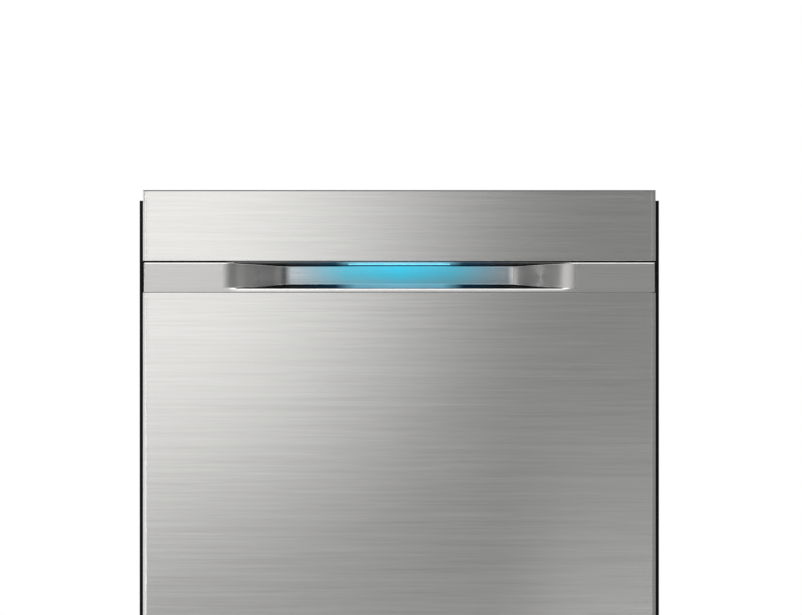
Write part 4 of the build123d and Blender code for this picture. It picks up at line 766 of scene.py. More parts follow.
# black frame round the tub's mouth: a square outer corner over a round inner one, grooved for the gasket

mouthFrame = {
    "faceY": -260.5, "rearY": -236.0, "low": 114.0, "notchHalf": 291.5, "notchTop": 174.0, "legTop": 176.0, "edge": 0.8,
    "grooveDeep": 7.0,
    # half width, top and corner round of the mouth, the groove's two sides and the outer edge
    "outlines": ((276.5, 837.5, 21.5), (280.85, 839.85, 17.1), (286.65, 845.65, 22.9), (303.0, 848.0, 0.0)),
    "cornerStep": 7.5,          # degrees
}


def outlinePoint(outline, origin, angle):
    # where a line from the origin, a corner's middle, crosses one outline of the frame
    half, top, turn = outline
    c, d = math.cos(angle), math.sin(angle)
    if c > 1e-9 and origin[1] + (half - origin[0]) / c * d <= top - turn + 1e-6:
        reach = (half - origin[0]) / c
    elif d > 1e-9 and origin[0] + (top - origin[1]) / d * c <= half - turn + 1e-6:
        reach = (top - origin[1]) / d
    else:
        x, z = origin[0] - half + turn, origin[1] - top + turn
        b = x * c + z * d
        reach = -b + math.sqrt(b * b - x * x - z * z + turn * turn)
    return (origin[0] + reach * c, origin[1] + reach * d)


def makeMouthFrame():
    f = mouthFrame
    shape = bmesh.new()
    outlines = f["outlines"]
    half, top, turn = outlines[0]
    middle = (half - turn, top - turn)
    corner = math.atan2(outlines[3][1] - middle[1], outlines[3][0] - middle[0])
    stations = [[(line[0], f["legTop"]) for line in outlines]]
    for angle in sorted([math.radians(f["cornerStep"] * step) for step in range(13)] + [corner]):
        stations.append([outlinePoint(line, middle, angle) for line in outlines])
    stations += [[(-x, z) for x, z in station] for station in reversed(stations)]
    face, rear, edge = f["faceY"], f["rearY"], f["edge"]
    rings = []
    for station in stations:
        inner, near, far, outer = (Vector((x, 0, z)) for x, z in station)
        along = (outer - inner).normalized() * edge
        places = (
            (inner, rear), (inner, face + edge), (inner + along, face), (near, face), (near, face + f["grooveDeep"]),
            (far, face + f["grooveDeep"]), (far, face), (outer - along, face), (outer, face + edge), (outer, rear),
        )
        rings.append([shape.verts.new(point + Vector((0, y, 0))) for point, y in places])
    bridge(shape, rings)
    shape.faces.new(rings[0])
    shape.faces.new(rings[-1])
    for side in (-1, 1):
        addBlock(shape, (side * f["notchHalf"], face, f["low"]), (side * outlines[3][0], rear, f["legTop"]), edge)
        addBlock(shape, (side * half, face + edge, f["notchTop"]), (side * (f["notchHalf"] + 1), rear, f["legTop"]))
    bmesh.ops.recalc_face_normals(shape, faces=shape.faces[:])
    newPiece("mouth_frame_painted", "front_frame", shape, blackCoat, sharpAngle=30)


makeMouthFrame()
print("frame made")


# racks: bent wires welded at their crossings, with two rim loops

lowerRack = {
    "half": 252.0, "front": -226.0, "back": 240.0, "base": 160.0, "rim": 300.0, "middle": 230.0,
    "along": 9, "across": 10, "margin": 28.0, "bend": 15.0,
    "tines": (-218.0, 136.0, 10), "tineLow": 167.0, "tineHigh": 248.6, "rodZ": 170.7, "foldHigh": 245.3,
    "wheelYs": (-125.0, 165.0), "axleZ": 139.3, "wheelX": 240.0,
    "hanger": (-6.7, 24.3),         # from the axle down and up
}
upperRack = {
    "half": 244.0, "front": -226.0, "back": 250.0, "base": 470.0, "rim": 600.0, "middle": 535.0,
    "along": 9, "across": 10, "margin": 28.0, "bend": 15.0,
    "tines": (-20.0, 210.0, 6), "tineLow": 477.0, "tineHigh": 538.6,
    "rollerYs": (214.0, 124.0), "rollerX": 255.1, "rollerZ": 525.0,
    "plate": ((252.35, 104.0, 517.2), (254.9, 234.0, 534.8)),       # the rollers' carrier
}
cutleryTray = {
    "half": 252.0, "front": -222.0, "back": 240.0, "base": 716.0, "rim": 752.0, "middle": 738.0,
    "along": 13, "across": 5, "margin": 26.0, "bend": 8.0, "slide": ((260.4, -198.0, 730.1), (273.0, 230.0, 741.9)),
}
cupShelf = {"hingeX": -236.0, "outerX": -129.8, "z": 590.0, "rungs": 7, "endGap": 14.0, "corner": 12.0}
wireSizes = {"main": 2.0, "rod": 2.2, "tine": 1.6, "weld": 4.1, "sideGap": 2.1, "corner": 26.0, "edgeMargin": 24.0}
tineCap = [(0, -3.0), (1.9, -2.4), (2.1, -0.4), (1.5, 1.0), (0, 1.5)]       # a drop of nylon on each tine
axlePin = [(0, -1.0), (3.0, -0.6), (3.0, 12.0), (2.4, 12.6), (0, 12.6)]
rollerProfile = [
    (0, 0), (6.6, 0), (7.6, 0.9), (8.0, 2.0), (8.0, 4.6), (7.4, 5.8), (5.6, 6.4), (3.0, 6.4), (3.0, 5.6), (0, 5.6),
]


def evenly(low, high, count):
    return [low + (high - low) * i / (count - 1) for i in range(count)]


def onSide(side, *corners):
    # corners drawn on the right, carried to one side
    return [(side * x, y, z) for x, y, z in corners]


def rackLines(rack):
    alongXs = evenly(-rack["half"] + rack["margin"], rack["half"] - rack["margin"], rack["along"])
    acrossYs = evenly(rack["front"] + wireSizes["edgeMargin"], rack["back"] - wireSizes["edgeMargin"], rack["across"])
    return alongXs, acrossYs


def addRackWires(shape, rack):
    w = wireSizes
    alongXs, acrossYs = rackLines(rack)
    low, top = rack["base"] + w["main"], rack["rim"] - w["main"]
    crossZ = low + w["weld"]
    sideX = rack["half"] + w["sideGap"]
    frontY, backY = rack["front"] - w["sideGap"], rack["back"] + w["sideGap"]
    for x in alongXs:
        addWire(shape, [(x, frontY, top), (x, frontY, low), (x, backY, low), (x, backY, top)], w["main"], rack["bend"])
    for y in acrossYs:
        hoop = [(-sideX, y, top), (-sideX, y, crossZ), (sideX, y, crossZ), (sideX, y, top)]
        addWire(shape, hoop, w["main"], rack["bend"])
    rimX = sideX + w["weld"]
    rimFront, rimBack = frontY - w["weld"], backY + w["weld"]
    for z in (top, rack["middle"] - w["main"]):
        loop = [(-rimX, rimFront, z), (rimX, rimFront, z), (rimX, rimBack, z), (-rimX, rimBack, z)]
        addWire(shape, loop, w["main"], w["corner"], sides=12, closed=True)


def addTines(shape, places, low, high):
    cap = [(radius, high + rise) for radius, rise in tineCap]
    for x, y in places:
        addWire(shape, [(x, y, low), (x, y, high)], wireSizes["tine"], sides=8, ball=True)
        addLathe(shape, cap, (x, y, 0), steps=8)


def makeLowerRack():
    r = lowerRack
    shape = bmesh.new()
    addRackWires(shape, r)
    acrossYs = rackLines(r)[1]
    tineXs = evenly(*r["tines"])
    addTines(shape, [(x, y) for y in (acrossYs[2], acrossYs[5]) for x in tineXs], r["tineLow"], r["tineHigh"])
    foldY = (acrossYs[7] + acrossYs[8]) / 2
    for x in (tineXs[1] + 12, tineXs[8] - 12):
        # a cradle for the folding row's rod
        z = r["rodZ"]
        addBlock(shape, (x - 4, acrossYs[7] - 2, z - 4.4), (x + 4, foldY - 2.6, z + 4.1), 0.8)
        addBlock(shape, (x - 4, foldY + 2.6, z - 4.4), (x + 4, acrossYs[8] + 2, z + 4.1), 0.8)
        addBlock(shape, (x - 4, foldY - 4, z - 4.9), (x + 4, foldY + 4, z - 2.7), 0.6)
    for side in (-1, 1):
        for y in r["wheelYs"]:
            low, high = (r["axleZ"] + rise for rise in r["hanger"])
            addBlock(shape, *onSide(side, (r["wheelX"] - 3.3, y - 12, low), (r["wheelX"] - 0.3, y + 12, high)), 1.2)
            addLathe(shape, axlePin, (side * (r["wheelX"] - 0.2), y, r["axleZ"]), (side, 0, 0), 20)
    newPiece("lower_rack_wires", "lower_rack", shape, wireNylon)
    rod = bmesh.new()
    ends = [(tineXs[0] - 8, foldY, r["rodZ"]), (tineXs[-1] + 8, foldY, r["rodZ"])]
    addWire(rod, ends, wireSizes["rod"], sides=14, ball=True)
    addTines(rod, [(x, foldY) for x in tineXs], r["rodZ"], r["foldHigh"])
    newPiece("tine_row_wires", "tine_row", rod, wireNylon)


def makeUpperRack():
    r = upperRack
    shape = bmesh.new()
    addRackWires(shape, r)
    acrossYs = rackLines(r)[1]
    places = [(x, y) for y in (acrossYs[3], acrossYs[6]) for x in evenly(*r["tines"])]
    addTines(shape, places, r["tineLow"], r["tineHigh"])
    for side in (-1, 1):
        addBlock(shape, *onSide(side, *r["plate"]), 0.8)
        for y in r["rollerYs"]:
            addLathe(shape, rollerProfile, (side * r["rollerX"], y, r["rollerZ"]), (side, 0, 0), 36)
    c = cupShelf
    for y in (acrossYs[2], acrossYs[7]):
        # a clip that the cup shelf's rod turns in
        x, z = c["hingeX"], c["z"]
        addBlock(shape, (x - 7.9, y - 3, z - 4.1), (x - 2.7, y + 3, z + 4.1), 0.8)
        for low, high in ((-4.1, -2.5), (2.5, 4.1)):
            addBlock(shape, (x - 2.9, y - 3, z + low), (x + 3, y + 3, z + high), 0.5)
    newPiece("upper_rack_wires", "upper_rack", shape, wireNylon)
    shelf = bmesh.new()
    ends = [(c["hingeX"], acrossYs[2] - 6, c["z"]), (c["hingeX"], acrossYs[7] + 6, c["z"])]
    addWire(shelf, ends, wireSizes["rod"], sides=14, ball=True)
    rungs = evenly(acrossYs[2] + c["endGap"], acrossYs[7] - c["endGap"], c["rungs"])
    loop = [(c["hingeX"], rungs[0]), (c["outerX"], rungs[0]), (c["outerX"], rungs[-1]), (c["hingeX"], rungs[-1])]
    addWire(shelf, [(x, y, c["z"]) for x, y in loop], wireSizes["main"], c["corner"], sides=12)
    for y in rungs[1:-1]:
        addWire(shelf, [(c["hingeX"] + 1, y, c["z"]), (c["outerX"] - 1.2, y, c["z"])], wireSizes["tine"], sides=8)
    newPiece("cup_shelf_wires", "cup_shelf", shelf, wireNylon)


def makeCutleryTray():
    shape = bmesh.new()
    addRackWires(shape, cutleryTray)
    for side in (-1, 1):
        addBlock(shape, *onSide(side, *cutleryTray["slide"]), 1.5, 3)
    newPiece("cutlery_tray_wires", "cutlery_tray", shape, wireNylon)


makeLowerRack()
makeUpperRack()
makeCutleryTray()
print("racks made")


# silverware basket: a moulded lattice in three pockets

basket = {
    "low": (152.0, -196.0, 168.5), "high": (226.0, 52.0, 290.5), "wall": 2.5, "slat": 3.0, "pitch": 8.0,
    "rim": 9.0, "foot": 12.0, "pockets": 3, "bands": 3, "bandHalf": 1.6, "corner": 7.0, "floorThick": 2.2,
}


def makeBasket():
    b = basket
    shape = bmesh.new()
    x0, y0, z0 = b["low"]
    x1, y1, z1 = b["high"]
    half = b["wall"] / 2
    outline = [(x0 + half, y0 + half), (x1 - half, y0 + half), (x1 - half, y1 - half), (x0 + half, y1 - half)]

    def hoop(low, high, thick):
        loop = turned([(x, y, (low + high) / 2) for x, y in outline], b["corner"], closed=True)
        tall, deep = (high - low) / 2, thick / 2
        section = [(-tall, -deep), (tall, -deep), (tall, deep), (-tall, deep)]
        addSweep(shape, loop, section, closed=True, up=(0, 0, 1))

    hoop(z1 - b["rim"], z1, b["wall"])
    hoop(z0, z0 + b["foot"], b["wall"])
    for z in evenly(z0 + b["foot"] + 22, z1 - b["rim"] - 22, b["bands"]):
        hoop(z - b["bandHalf"], z + b["bandHalf"], b["wall"] - 0.4)
    slat = b["slat"] / 2
    wallXs = (x0 + half, x1 - half)
    for y in evenly(y0 + 9, y1 - 9, round((y1 - y0 - 18) / b["pitch"]) + 1):
        for x in wallXs:
            addBlock(shape, (x - half + 0.3, y - slat, z0 + 2), (x + half - 0.3, y + slat, z1 - 2))
        addBlock(shape, (x0 + 2, y - slat, z0), (x1 - 2, y + slat, z0 + b["floorThick"]))
    pocket = (y1 - y0 - b["wall"]) / b["pockets"]
    for i in range(b["pockets"] + 1):
        y = y0 + half + i * pocket
        inner = 0 < i < b["pockets"]
        for x in evenly(x0 + 9, x1 - 9, round((x1 - x0 - 18) / b["pitch"]) + 1):
            top = z1 - (12 if inner else 2)
            addBlock(shape, (x - slat, y - half + 0.3, z0 + 2), (x + slat, y + half - 0.3, top))
        if inner:       # a divider between two pockets
            addBlock(shape, (x0 + 2, y - half, z1 - 18), (x1 - 2, y + half, z1 - 9), 0.6)
            addBlock(shape, (x0 + 2, y - half, z0), (x1 - 2, y + half, z0 + 10), 0.6)
            addBlock(shape, (x0 + 2, y - half + 0.3, z0 + 58), (x1 - 2, y + half - 0.3, z0 + 62))
    for x in evenly(x0 + 16, x1 - 16, 4):
        addBlock(shape, (x - 1.2, y0 + 2, z0), (x + 1.2, y1 - 2, z0 + 2.4))
    newPiece("silverware_basket_lattice", "silverware_basket", shape, greyPoly)


makeBasket()
print("basket made")


# sound blanket: a felt mat wrapped over the tub, held by push pins

blanket = {
    "innerX": 276.5, "innerTop": 837.5, "thick": 9.0, "low": 214.0, "front": -236.0, "back": 284.0,
    "corner": 24.0, "step": 11.0, "pinZs": (290.0, 480.0, 690.0), "pinYs": (-170.0, 20.0, 215.0),
    "pinXs": (-180.0, 0.0, 180.0),
    "hole": (8.0, 192.0, 328.0, 642.0),         # where the air break stands: Y and Z, low and high
    "pinGap": 20.0, "squeeze": 3.0, "squeezeReach": 9.0, "dimple": 3.2, "dimpleReach": 15.0,
    "billow": 0.88, "billowLong": 55.0, "ripple": 0.35, "rippleLong": 16.0,
}
pinProfile = [
    (0, 0.3), (2.0, 0.3), (2.0, 6.0), (9.0, 6.2), (9.4, 6.8), (8.6, 7.6), (4.0, 8.0), (3.2, 8.6), (0, 8.8),
]


def blanketPath():
    b = blanket
    corners = [
        (-b["innerX"], 0, b["low"]), (-b["innerX"], 0, b["innerTop"]),
        (b["innerX"], 0, b["innerTop"]), (b["innerX"], 0, b["low"]),
    ]
    bent = turned(corners, b["corner"], steps=8)
    low, high = b["hole"][2:]
    cuts = [Vector((-b["innerX"], 0, z)) for z in (low, high)]
    bent[1:1] = cuts
    path = []
    for a, c in zip(bent, bent[1:]):
        count = max(1, round((c - a).length / b["step"]))
        path += [a.lerp(c, i / count) for i in range(count)]
    return path + [bent[-1]]


def blanketPins():
    b = blanket
    y0, y1, z0, z1 = b["hole"]
    gap = b["pinGap"]
    sides = [(side * b["innerX"], y, z) for side in (-1, 1) for y in b["pinYs"] for z in b["pinZs"]]
    pins = [(x, y, z) for x, y, z in sides if x > 0 or not (y0 - gap < y < y1 + gap and z0 - gap < z < z1 + gap)]
    return pins + [(x, y, b["innerTop"]) for x in b["pinXs"] for y in b["pinYs"]]


def makeBlanket():
    b = blanket
    path = blanketPath()
    y0, y1, z0, z1 = b["hole"]
    ys = []
    for low, high in ((b["front"], y0), (y0, y1), (y1, b["back"])):
        ys += evenly(low, high, round((high - low) / b["step"]) + 1)[:-1]
    ys.append(b["back"])
    pins = [Vector(p) for p in blanketPins()]
    count = len(path)
    outward = []
    for i, point in enumerate(path):
        ahead = path[min(i + 1, count - 1)] - path[max(i - 1, 0)]
        outward.append(Vector((-ahead.z, 0, ahead.x)).normalized())
    shape = bmesh.new()
    inner, outer = [], []
    for i, point in enumerate(path):
        innerRow, outerRow = [], []
        for j, y in enumerate(ys):
            place = Vector((point.x, y, point.z))
            edge = min(y - b["front"], b["back"] - y, (point - path[0]).length, (point - path[-1]).length)
            if point.x < -b["innerX"] + 0.5:
                edge = min(edge, max(y0 - y, y - y1, z0 - point.z, point.z - z1, 0) + 0.01)
            squeeze = b["squeeze"] * math.exp(-edge / b["squeezeReach"])
            puff = b["billow"] * (noise.noise(place / b["billowLong"]) - 1.0)
            puff += b["ripple"] * noise.noise(place / b["rippleLong"])
            dimple = sum(b["dimple"] * math.exp(-((place - p).length / b["dimpleReach"]) ** 2) for p in pins)
            thick = b["thick"] + min(0.0, puff - squeeze - dimple + 0.5)
            innerRow.append(shape.verts.new(place + 0.1 * outward[i]))
            outerRow.append(shape.verts.new(place + thick * outward[i]))
        inner.append(innerRow)
        outer.append(outerRow)

    def cut(i, j):
        middleY = (ys[j] + ys[j + 1]) / 2
        middle = (path[i] + path[i + 1]) / 2
        return middle.x < -b["innerX"] + 0.5 and y0 < middleY < y1 and z0 < middle.z < z1

    cells = {(i, j) for i in range(count - 1) for j in range(len(ys) - 1) if not cut(i, j)}
    for i, j in cells:
        for rows, flip in ((outer, False), (inner, True)):
            face = [rows[i][j], rows[i + 1][j], rows[i + 1][j + 1], rows[i][j + 1]]
            shape.faces.new(face[::-1] if flip else face)
        for (di, dj), (a, c) in {
            (-1, 0): ((i, j), (i, j + 1)), (1, 0): ((i + 1, j), (i + 1, j + 1)),
            (0, -1): ((i, j), (i + 1, j)), (0, 1): ((i, j + 1), (i + 1, j + 1)),
        }.items():
            if (i + di, j + dj) not in cells:
                shape.faces.new((inner[a[0]][a[1]], inner[c[0]][c[1]], outer[c[0]][c[1]], outer[a[0]][a[1]]))
    mat = newPiece("insulation_felt", "insulation_blanket", shape, matFelt, sharpAngle=60)
    heads = bmesh.new()
    for p in pins:
        out = Vector((0, 0, 1)) if p.z > b["innerTop"] - 1 else Vector((math.copysign(1, p.x), 0, 0))
        addLathe(heads, pinProfile, p, out, 24)
    newPiece("blanket_pins", "insulation_blanket", heads, whitePoly, replaced=())


makeBlanket()
print("blanket made")


# counterbalance springs: close coils with a hook at each end

spring = {
    "x": 285.5, "tail": (-219.0, 88.0), "anchor": (-60.0, 36.0), "coilRadius": 4.7, "wireRadius": 0.8,
    "pitch": 2.6, "tailRing": 4.5, "anchorRing": 4.0, "tailLong": 15, "anchorLong": 12, "perTurn": 12,
}


def makeSprings():
    s = spring
    for side, label in ((-1, "left"), (1, "right")):
        shape = bmesh.new()
        start = Vector((side * s["x"], *s["tail"]))
        end = Vector((side * s["x"], *s["anchor"]))
        along = (end - start).normalized()
        across = Vector((1, 0, 0))
        lift = along.cross(across).normalized()
        tailLoop = start + along * s["tailRing"]
        path = []
        for degrees in range(-150, 181, 30):
            a = math.radians(degrees)
            path.append(tailLoop + s["tailRing"] * (math.sin(a) * across - math.cos(a) * along))
        coilStart = start + along * s["tailLong"]
        coilLong = (end - start).length - s["tailLong"] - s["anchorLong"]
        count = round(coilLong / s["pitch"]) * s["perTurn"]
        for i in range(count + 1):
            a = 2 * math.pi * i / s["perTurn"]
            radius = s["coilRadius"] * min(1.0, (i + 2) / s["perTurn"], (count - i + 2) / s["perTurn"])
            centre = coilStart + along * (coilLong * i / count)
            path.append(centre + radius * (math.cos(a) * lift + math.sin(a) * across))
        for degrees in range(-180, 121, 30):
            a = math.radians(degrees)
            path.append(end + s["anchorRing"] * (math.cos(a) * along + math.sin(a) * lift))
        addSweep(shape, path, circle(s["wireRadius"], 6), ball=s["wireRadius"])
        # the left one stands in for both
        replaced = ["door_springs"] if side < 0 else []
        coil = newPiece("door_spring_" + label, None, shape, coilSteel, replaced=replaced)
        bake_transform(coil)


makeSprings()
print("springs made")


# levelling legs: a ribbed pad, a nut and a threaded rod

leg = {
    "padRadius": 17.8, "nutRadius": 9.0, "nutLow": 8.0, "nutHigh": 15.0,
    "rodRadius": 5.0, "rodTop": 91.8, "pitch": 1.75, "ribs": 12,
}


def makeLegs():
    g = leg
    pad, nut, start, end = g["padRadius"], g["nutRadius"], g["nutLow"], g["nutHigh"]
    foot = [
        (0, 0), (pad - 2, 0), (pad, 1.2), (pad, 3.4), (pad - 1.4, 4.6), (pad - 6, 5.4), (9.6, 7.4), (9.2, start),
        (0, start),
    ]
    hexagon = [
        (0, start - 0.5), (nut - 1.2, start - 0.5), (nut, start + 0.6), (nut, end - 0.6), (nut - 1.2, end), (0, end),
    ]
    z = end - 1
    thread = [(0, z)]
    while z < g["rodTop"] - 2:
        thread += [(g["rodRadius"] - 0.9, z), (g["rodRadius"] - 0.05, z + g["pitch"] / 2)]
        z += g["pitch"]
    thread += [(g["rodRadius"] - 1.2, g["rodTop"] - 0.4), (0, g["rodTop"])]
    for name in ("leg_front_left", "leg_front_right", "leg_rear_left", "leg_rear_right"):
        low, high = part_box(name)
        place = ((low.x + high.x) / 2 / mm, (low.y + high.y) / 2 / mm, 0)
        shape = bmesh.new()
        addLathe(shape, foot, place, steps=48)
        addRibs(shape, (9.0, -0.7, 4.0), (pad - 1.2, 0.7, 6.3), 0.4, g["ribs"], "Z", Matrix.Translation(place))
        addLathe(shape, hexagon, place, steps=6)
        addLathe(shape, thread, place, steps=20)
        newPiece(name + "_levelling", name, shape, boltZinc, sharpAngle=50)


makeLegs()
print("legs made")


# rack wheels: a plain tread on six spokes, dished inwards

wheel = {"radius": 18.9, "width": 11.0, "hub": 6.4, "bore": 3.2, "rimInner": 14.6, "spokes": 6}


def makeWheels():
    w = wheel
    radius, rim, hub, bore, width = w["radius"], w["rimInner"], w["hub"], w["bore"], w["width"]
    tread = [
        (rim, 0.6), (radius - 0.8, 0.3), (radius, 1.2), (radius, width - 1.4), (radius - 0.9, width - 0.3),
        (rim, width - 0.8), (rim - 0.6, width - 1.6), (rim - 0.6, 1.2), (rim, 0.6),
    ]
    boss = [
        (bore, 0.2), (hub - 0.6, 0.2), (hub, 0.9), (hub, width - 1.4), (hub - 0.8, width - 0.6), (bore, width - 0.6),
        (bore, 0.2),
    ]
    web = [(hub - 1, 2.2), (rim, 2.2), (rim, 4.0), (hub - 1, 4.0), (hub - 1, 2.2)]
    for name, y in zip(("front_wheels", "rear_wheels"), lowerRack["wheelYs"]):
        shape = bmesh.new()
        for side in (-1, 1):
            place = (side * lowerRack["wheelX"], y, lowerRack["axleZ"])
            for profile, steps in ((tread, 48), (boss, 28), (web, 40)):
                addLathe(shape, profile, place, (side, 0, 0), steps)
            placed = Matrix.Translation(place) @ Matrix.Diagonal((side, 1, 1, 1))
            addRibs(shape, (3.2, hub - 0.8, -1.1), (width - 2.4, rim + 0.2, 1.1), 0.5, w["spokes"], "X", placed)
        newPiece(name + "_moulded", name, shape, greyPoly)


makeWheels()
print("wheels made")


# spray arms: a crowned blade swept back at its ends, with jets on top and a ribbed hub

armSizes = {
    "lower_spray_arm": {
        "reach": 222.0, "swirl": 9.0, "low": 138.1, "thick": 10.8, "hubLow": 118.5, "hubHigh": 148.7,
        "jets": (-0.86, -0.72, -0.56, -0.36, 0.3, 0.48, 0.66, 0.82),
    },
    "upper_spray_arm": {
        "reach": 210.0, "swirl": -8.0, "low": 438.0, "thick": 11.0, "hubLow": 438.0, "hubHigh": 455.0,
        "jets": (-0.84, -0.66, -0.44, 0.36, 0.58, 0.8),
    },
    "top_spray_arm": {
        "reach": 115.0, "swirl": 5.0, "low": 790.5, "thick": 11.0, "hubLow": 790.5, "hubHigh": 808.5,
        "jets": (-0.76, -0.48, 0.44, 0.7),
    },
}
armShape = {
    "hubY": 20.0, "collar": 15.9, "bore": 10.4, "ribs": 12, "tipLong": 12.0, "tipWide": 12.0, "swell": 12.5,
    "skirt": 0.9,                   # how far the seam of the two halves stands out
    "steps": 61,
    "angles": (0, 4, 18, 34, 50, 68, 90, 112, 130, 146, 162, 176, 180, 184, 206, 232, 270, 308, 334, 356),
    "jet": ((5.2, -1.4), (4.4, -0.2), (3.4, 0.0), (2.9, -0.5), (2.0, -2.2), (0, -2.4)),
}


def armHalfWidth(t, reach):
    m = armShape
    wide = m["tipWide"] + m["swell"] * (1 - abs(t)) ** 1.2
    past = (abs(t) * reach - (reach - m["tipLong"])) / m["tipLong"]
    return wide * math.sqrt(max(1 - max(past, 0) ** 2, 0.002))


def makeArms():
    m = armShape
    hubY, collar, bore = m["hubY"], m["collar"], m["bore"]
    for name, s in armSizes.items():
        shape = bmesh.new()
        reach, rings = s["reach"], []
        for t in evenly(-1.0, 1.0, m["steps"]):
            wide = armHalfWidth(t, reach)
            tall = s["thick"] * (0.8 + 0.2 * (1 - abs(t)))
            middle = hubY + s["swirl"] * t * abs(t)
            ring = []
            for degrees in m["angles"]:
                a = math.radians(degrees)
                c, d = math.cos(a), math.sin(a)
                out = 1.0 if abs(d) > 0.05 or wide < 3 else 1 + m["skirt"] / wide
                y = middle + (wide - m["skirt"]) * out * math.copysign(abs(c) ** 0.62, c)
                z = s["low"] + tall / 2 + tall / 2 * math.copysign(abs(d) ** 0.7, d)
                ring.append(shape.verts.new((t * reach, y, z)))
            rings.append(ring)
        bridge(shape, rings)
        shape.faces.new(rings[0])
        shape.faces.new(rings[-1])
        for share in s["jets"]:
            top = s["low"] + s["thick"] * (0.8 + 0.2 * (1 - abs(share)))
            place = (share * reach, hubY + s["swirl"] * share * abs(share), 0)
            addLathe(shape, [(radius, top + rise) for radius, rise in m["jet"]], place, steps=20)
        low, high = s["hubLow"], s["hubHigh"]
        hub = [
            (bore, low), (collar - 0.8, low), (collar, low + 0.8), (collar, high - 0.8), (collar - 0.8, high),
            (bore, high), (bore, low),
        ]
        addLathe(shape, hub, (0, hubY, 0), steps=48)
        if name == "lower_spray_arm":
            cap = [(bore + 0.4, high - 4), (bore + 0.4, high - 0.6), (7.0, high), (0, high)]
            addLathe(shape, cap, (0, hubY, 0), steps=32)
        rib = (collar - 1.0, -0.8, low + 1.2), (collar + 1.1, 0.8, high - 1.2)
        addRibs(shape, *rib, 0.4, m["ribs"], "Z", Matrix.Translation((0, hubY, 0)), turn=0.5)
        newPiece(name + "_moulded", name, shape, greyPoly)


makeArms()
print("spray arms made")


# studio

studio = {
    "pixelsWide": 802,
    "mmPerPixel": 1.1644,       # at the door's face
    "cameraAway": 25.0,
    "cameraHeight": 0.7233,
    "cameraSide": 0.002,
    "sensorMm": 36.0,
    "floorSide": 18.0,
    "floorGlow": 0.62,
    "skyGlow": 0.31,
}
# a big soft screen in front of the door, brightest at its upper left, with a pool of light low on the right: each
# fades past a corner point, given across and up, by the reach that it has each way
screen = {
    "place": (0.0, -1.35, 0.86), "wide": 2.6, "high": 1.68, "gain": 2.4,
    "wash": {"corner": (-0.6, 0.715), "reach": (0.602, -0.276), "near": 0.586, "far": 1.386, "level": 0.788},
    "pool": {"corner": (0.194, 0.09), "reach": (-0.1, 1.363), "near": 0.0, "far": 0.5, "level": 0.245},
    "ends": 0.25, "endsFrom": 0.37, "endsTo": 0.68,
}
panels = {
    # place, aim, width, height, watts
    "brow_panel": ((0.0, -1.6, 2.15), (0.0, -0.3, 0.7), 2.4, 1.3, 34.0),
    "low_panel": ((0.0, -1.25, 0.012), (0.0, -1.2, 1.0), 2.4, 1.0, 9.0),
    "left_strip": ((-2.06, -1.03, 0.8), (-0.3, -0.3, 0.8), 0.22, 1.6, 12.0),
    "left_wall": ((-2.1, -0.25, 0.9), (0.0, -0.25, 0.9), 2.1, 1.7, 12.0),
    "right_wall": ((2.1, -0.25, 0.9), (0.0, -0.25, 0.9), 2.1, 1.7, 2.5),
    "top_panel": ((0.2, 0.8, 2.6), (0.0, 0.0, 0.4), 1.6, 1.2, 30.0),
    "back_panel": ((1.8, 2.2, 1.6), (0.0, 0.2, 0.5), 1.2, 1.2, 40.0),
}


def addObject(name, data):
    thing = bpy.data.objects.new(name, data)
    bpy.context.scene.collection.objects.link(thing)
    return thing


def lookAt(thing, target):
    thing.rotation_euler = (Vector(target) - thing.location).to_track_quat("-Z", "Y").to_euler()


def makeCamera():
    s = studio
    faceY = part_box("door_panel")[0].y
    camera = addObject("camera", bpy.data.cameras.new("camera"))
    camera.location = (s["cameraSide"], faceY - s["cameraAway"], s["cameraHeight"])
    camera.data.sensor_width = s["sensorMm"]
    camera.data.lens = s["sensorMm"] * s["cameraAway"] / (s["pixelsWide"] * s["mmPerPixel"] * mm)
    camera.data.clip_end = 100.0
    lookAt(camera, (s["cameraSide"], faceY, s["cameraHeight"]))
    bpy.context.scene.camera = camera


def makePanelLight(name, place, target, width, height, power):
    light = bpy.data.lights.new(name, "AREA")
    light.shape = "RECTANGLE"
    light.size = width
    light.size_y = height
    light.energy = power
    thing = addObject(name, light)
    thing.location = place
    lookAt(thing, target)
    thing.visible_camera = False
    return light


def bankOfLight(tree, point, bank):
    # full up to the corner point, then fading out with the distance past it
    scale = [1 / reach for reach in bank["reach"]] + [0.0]
    shift = [-place / reach for place, reach in zip(bank["corner"], bank["reach"])] + [0.0]
    past = addNode(tree, "ShaderNodeVectorMath", {0: point, 1: scale, 2: shift}, operation="MULTIPLY_ADD")
    past = addNode(tree, "ShaderNodeVectorMath", {0: past.outputs[0], 1: (0, 0, 0)}, operation="MAXIMUM")
    past = addNode(tree, "ShaderNodeVectorMath", {0: past.outputs[0]}, operation="LENGTH")
    inputs = {"Value": past.outputs["Value"], "From Min": bank["near"], "From Max": bank["far"]}
    inputs.update({"To Min": bank["level"], "To Max": 0.0})
    return addNode(tree, "ShaderNodeMapRange", inputs, interpolation_type="SMOOTHSTEP").outputs[0]


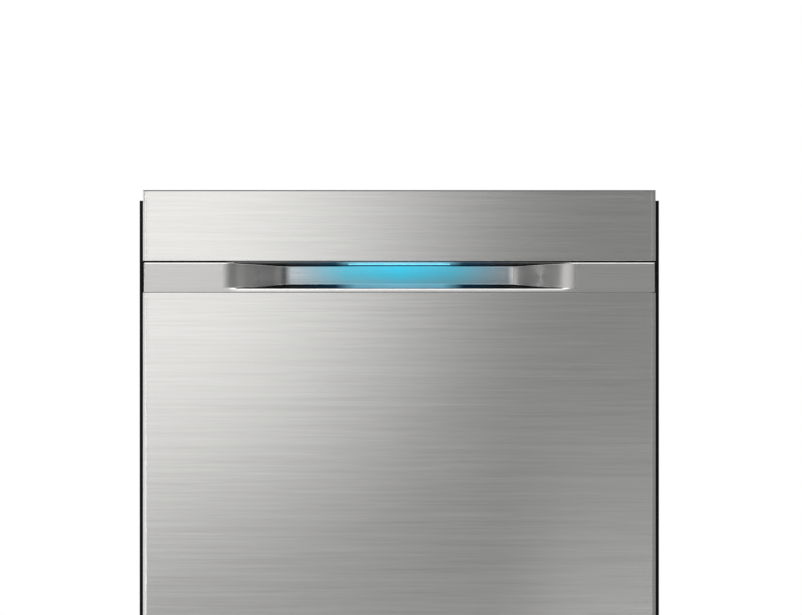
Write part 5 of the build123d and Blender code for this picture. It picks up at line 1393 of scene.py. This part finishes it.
def makeGradedScreen():
    s = screen
    wide, high, middleZ = s["wide"], s["high"], s["place"][2]
    light = makePanelLight("front_screen", s["place"], (0, 0, middleZ), wide, high, 10.0)
    light.use_nodes = True
    tree = light.node_tree
    tree.nodes.clear()
    around = addNode(tree, "ShaderNodeNewGeometry")
    corner = (-wide / 2, middleZ - high / 2, 0)
    inputs = {0: around.outputs["Parametric"], 1: (wide, high, 0), 2: corner}
    point = addNode(tree, "ShaderNodeVectorMath", inputs, operation="MULTIPLY_ADD").outputs[0]
    banks = {i: bankOfLight(tree, point, s[name]) for i, name in enumerate(("wash", "pool"))}
    inner = addNode(tree, "ShaderNodeMath", banks, operation="ADD")
    # even ends, for the door's bevelled sides to mirror
    split = addNode(tree, "ShaderNodeSeparateXYZ", {0: point})
    away = addNode(tree, "ShaderNodeMath", {0: split.outputs[0]}, operation="ABSOLUTE")
    inputs = {"Value": away.outputs[0], "From Min": s["endsFrom"], "From Max": s["endsTo"]}
    share = addNode(tree, "ShaderNodeMapRange", inputs, interpolation_type="SMOOTHSTEP")
    level = addNode(tree, "ShaderNodeMix", {0: share.outputs[0], 2: inner.outputs[0], 3: s["ends"]})
    total = addNode(tree, "ShaderNodeMath", {0: level.outputs[0], 1: s["gain"]}, operation="MULTIPLY")
    glow = addNode(tree, "ShaderNodeEmission", {"Strength": total.outputs[0]})
    addNode(tree, "ShaderNodeOutputLight", {"Surface": glow.outputs[0]})


def makeFloor():
    half = studio["floorSide"] / 2
    plane = bpy.data.meshes.new("floor")
    plane.from_pydata([(-half, -half, 0), (half, -half, 0), (half, half, 0), (-half, half, 0)], [], [(0, 1, 2, 3)])
    floor = addObject("floor", plane)
    material, tree, shader = newMaterial("pale_floor", Roughness=0.9)
    vary(shader, pattern(tree, 400.0, Detail=2.0), ("#e6e6e5", "#ececeb"))
    shader.inputs["Emission Color"].default_value = linear("#ffffff")
    # the glow is for the picture alone: it lights nothing
    path = addNode(tree, "ShaderNodeLightPath")
    seen = {0: path.outputs["Is Camera Ray"], 1: studio["floorGlow"]}
    glow = addNode(tree, "ShaderNodeMath", seen, operation="MULTIPLY")
    tree.links.new(glow.outputs[0], shader.inputs["Emission Strength"])
    plane.materials.append(material)


def makeSky():
    world = bpy.data.worlds.new("studio")
    bpy.context.scene.world = world
    world.use_nodes = True
    tree = world.node_tree
    tree.nodes.clear()
    path = addNode(tree, "ShaderNodeLightPath")
    seen = addNode(tree, "ShaderNodeBackground", {"Color": linear("#ffffff"), "Strength": 1.0})
    sky = addNode(tree, "ShaderNodeBackground", {"Color": linear("#f4f6f8"), "Strength": studio["skyGlow"]})
    inputs = {0: path.outputs["Is Camera Ray"], 1: sky.outputs[0], 2: seen.outputs[0]}
    mixed = addNode(tree, "ShaderNodeMixShader", inputs)
    addNode(tree, "ShaderNodeOutputWorld", {"Surface": mixed.outputs[0]})


makeCamera()
makeFloor()
makeSky()
makeGradedScreen()
for name, setup in panels.items():
    makePanelLight(name, *setup)
bpy.context.scene.view_settings.view_transform = "Standard"
print("studio ready")
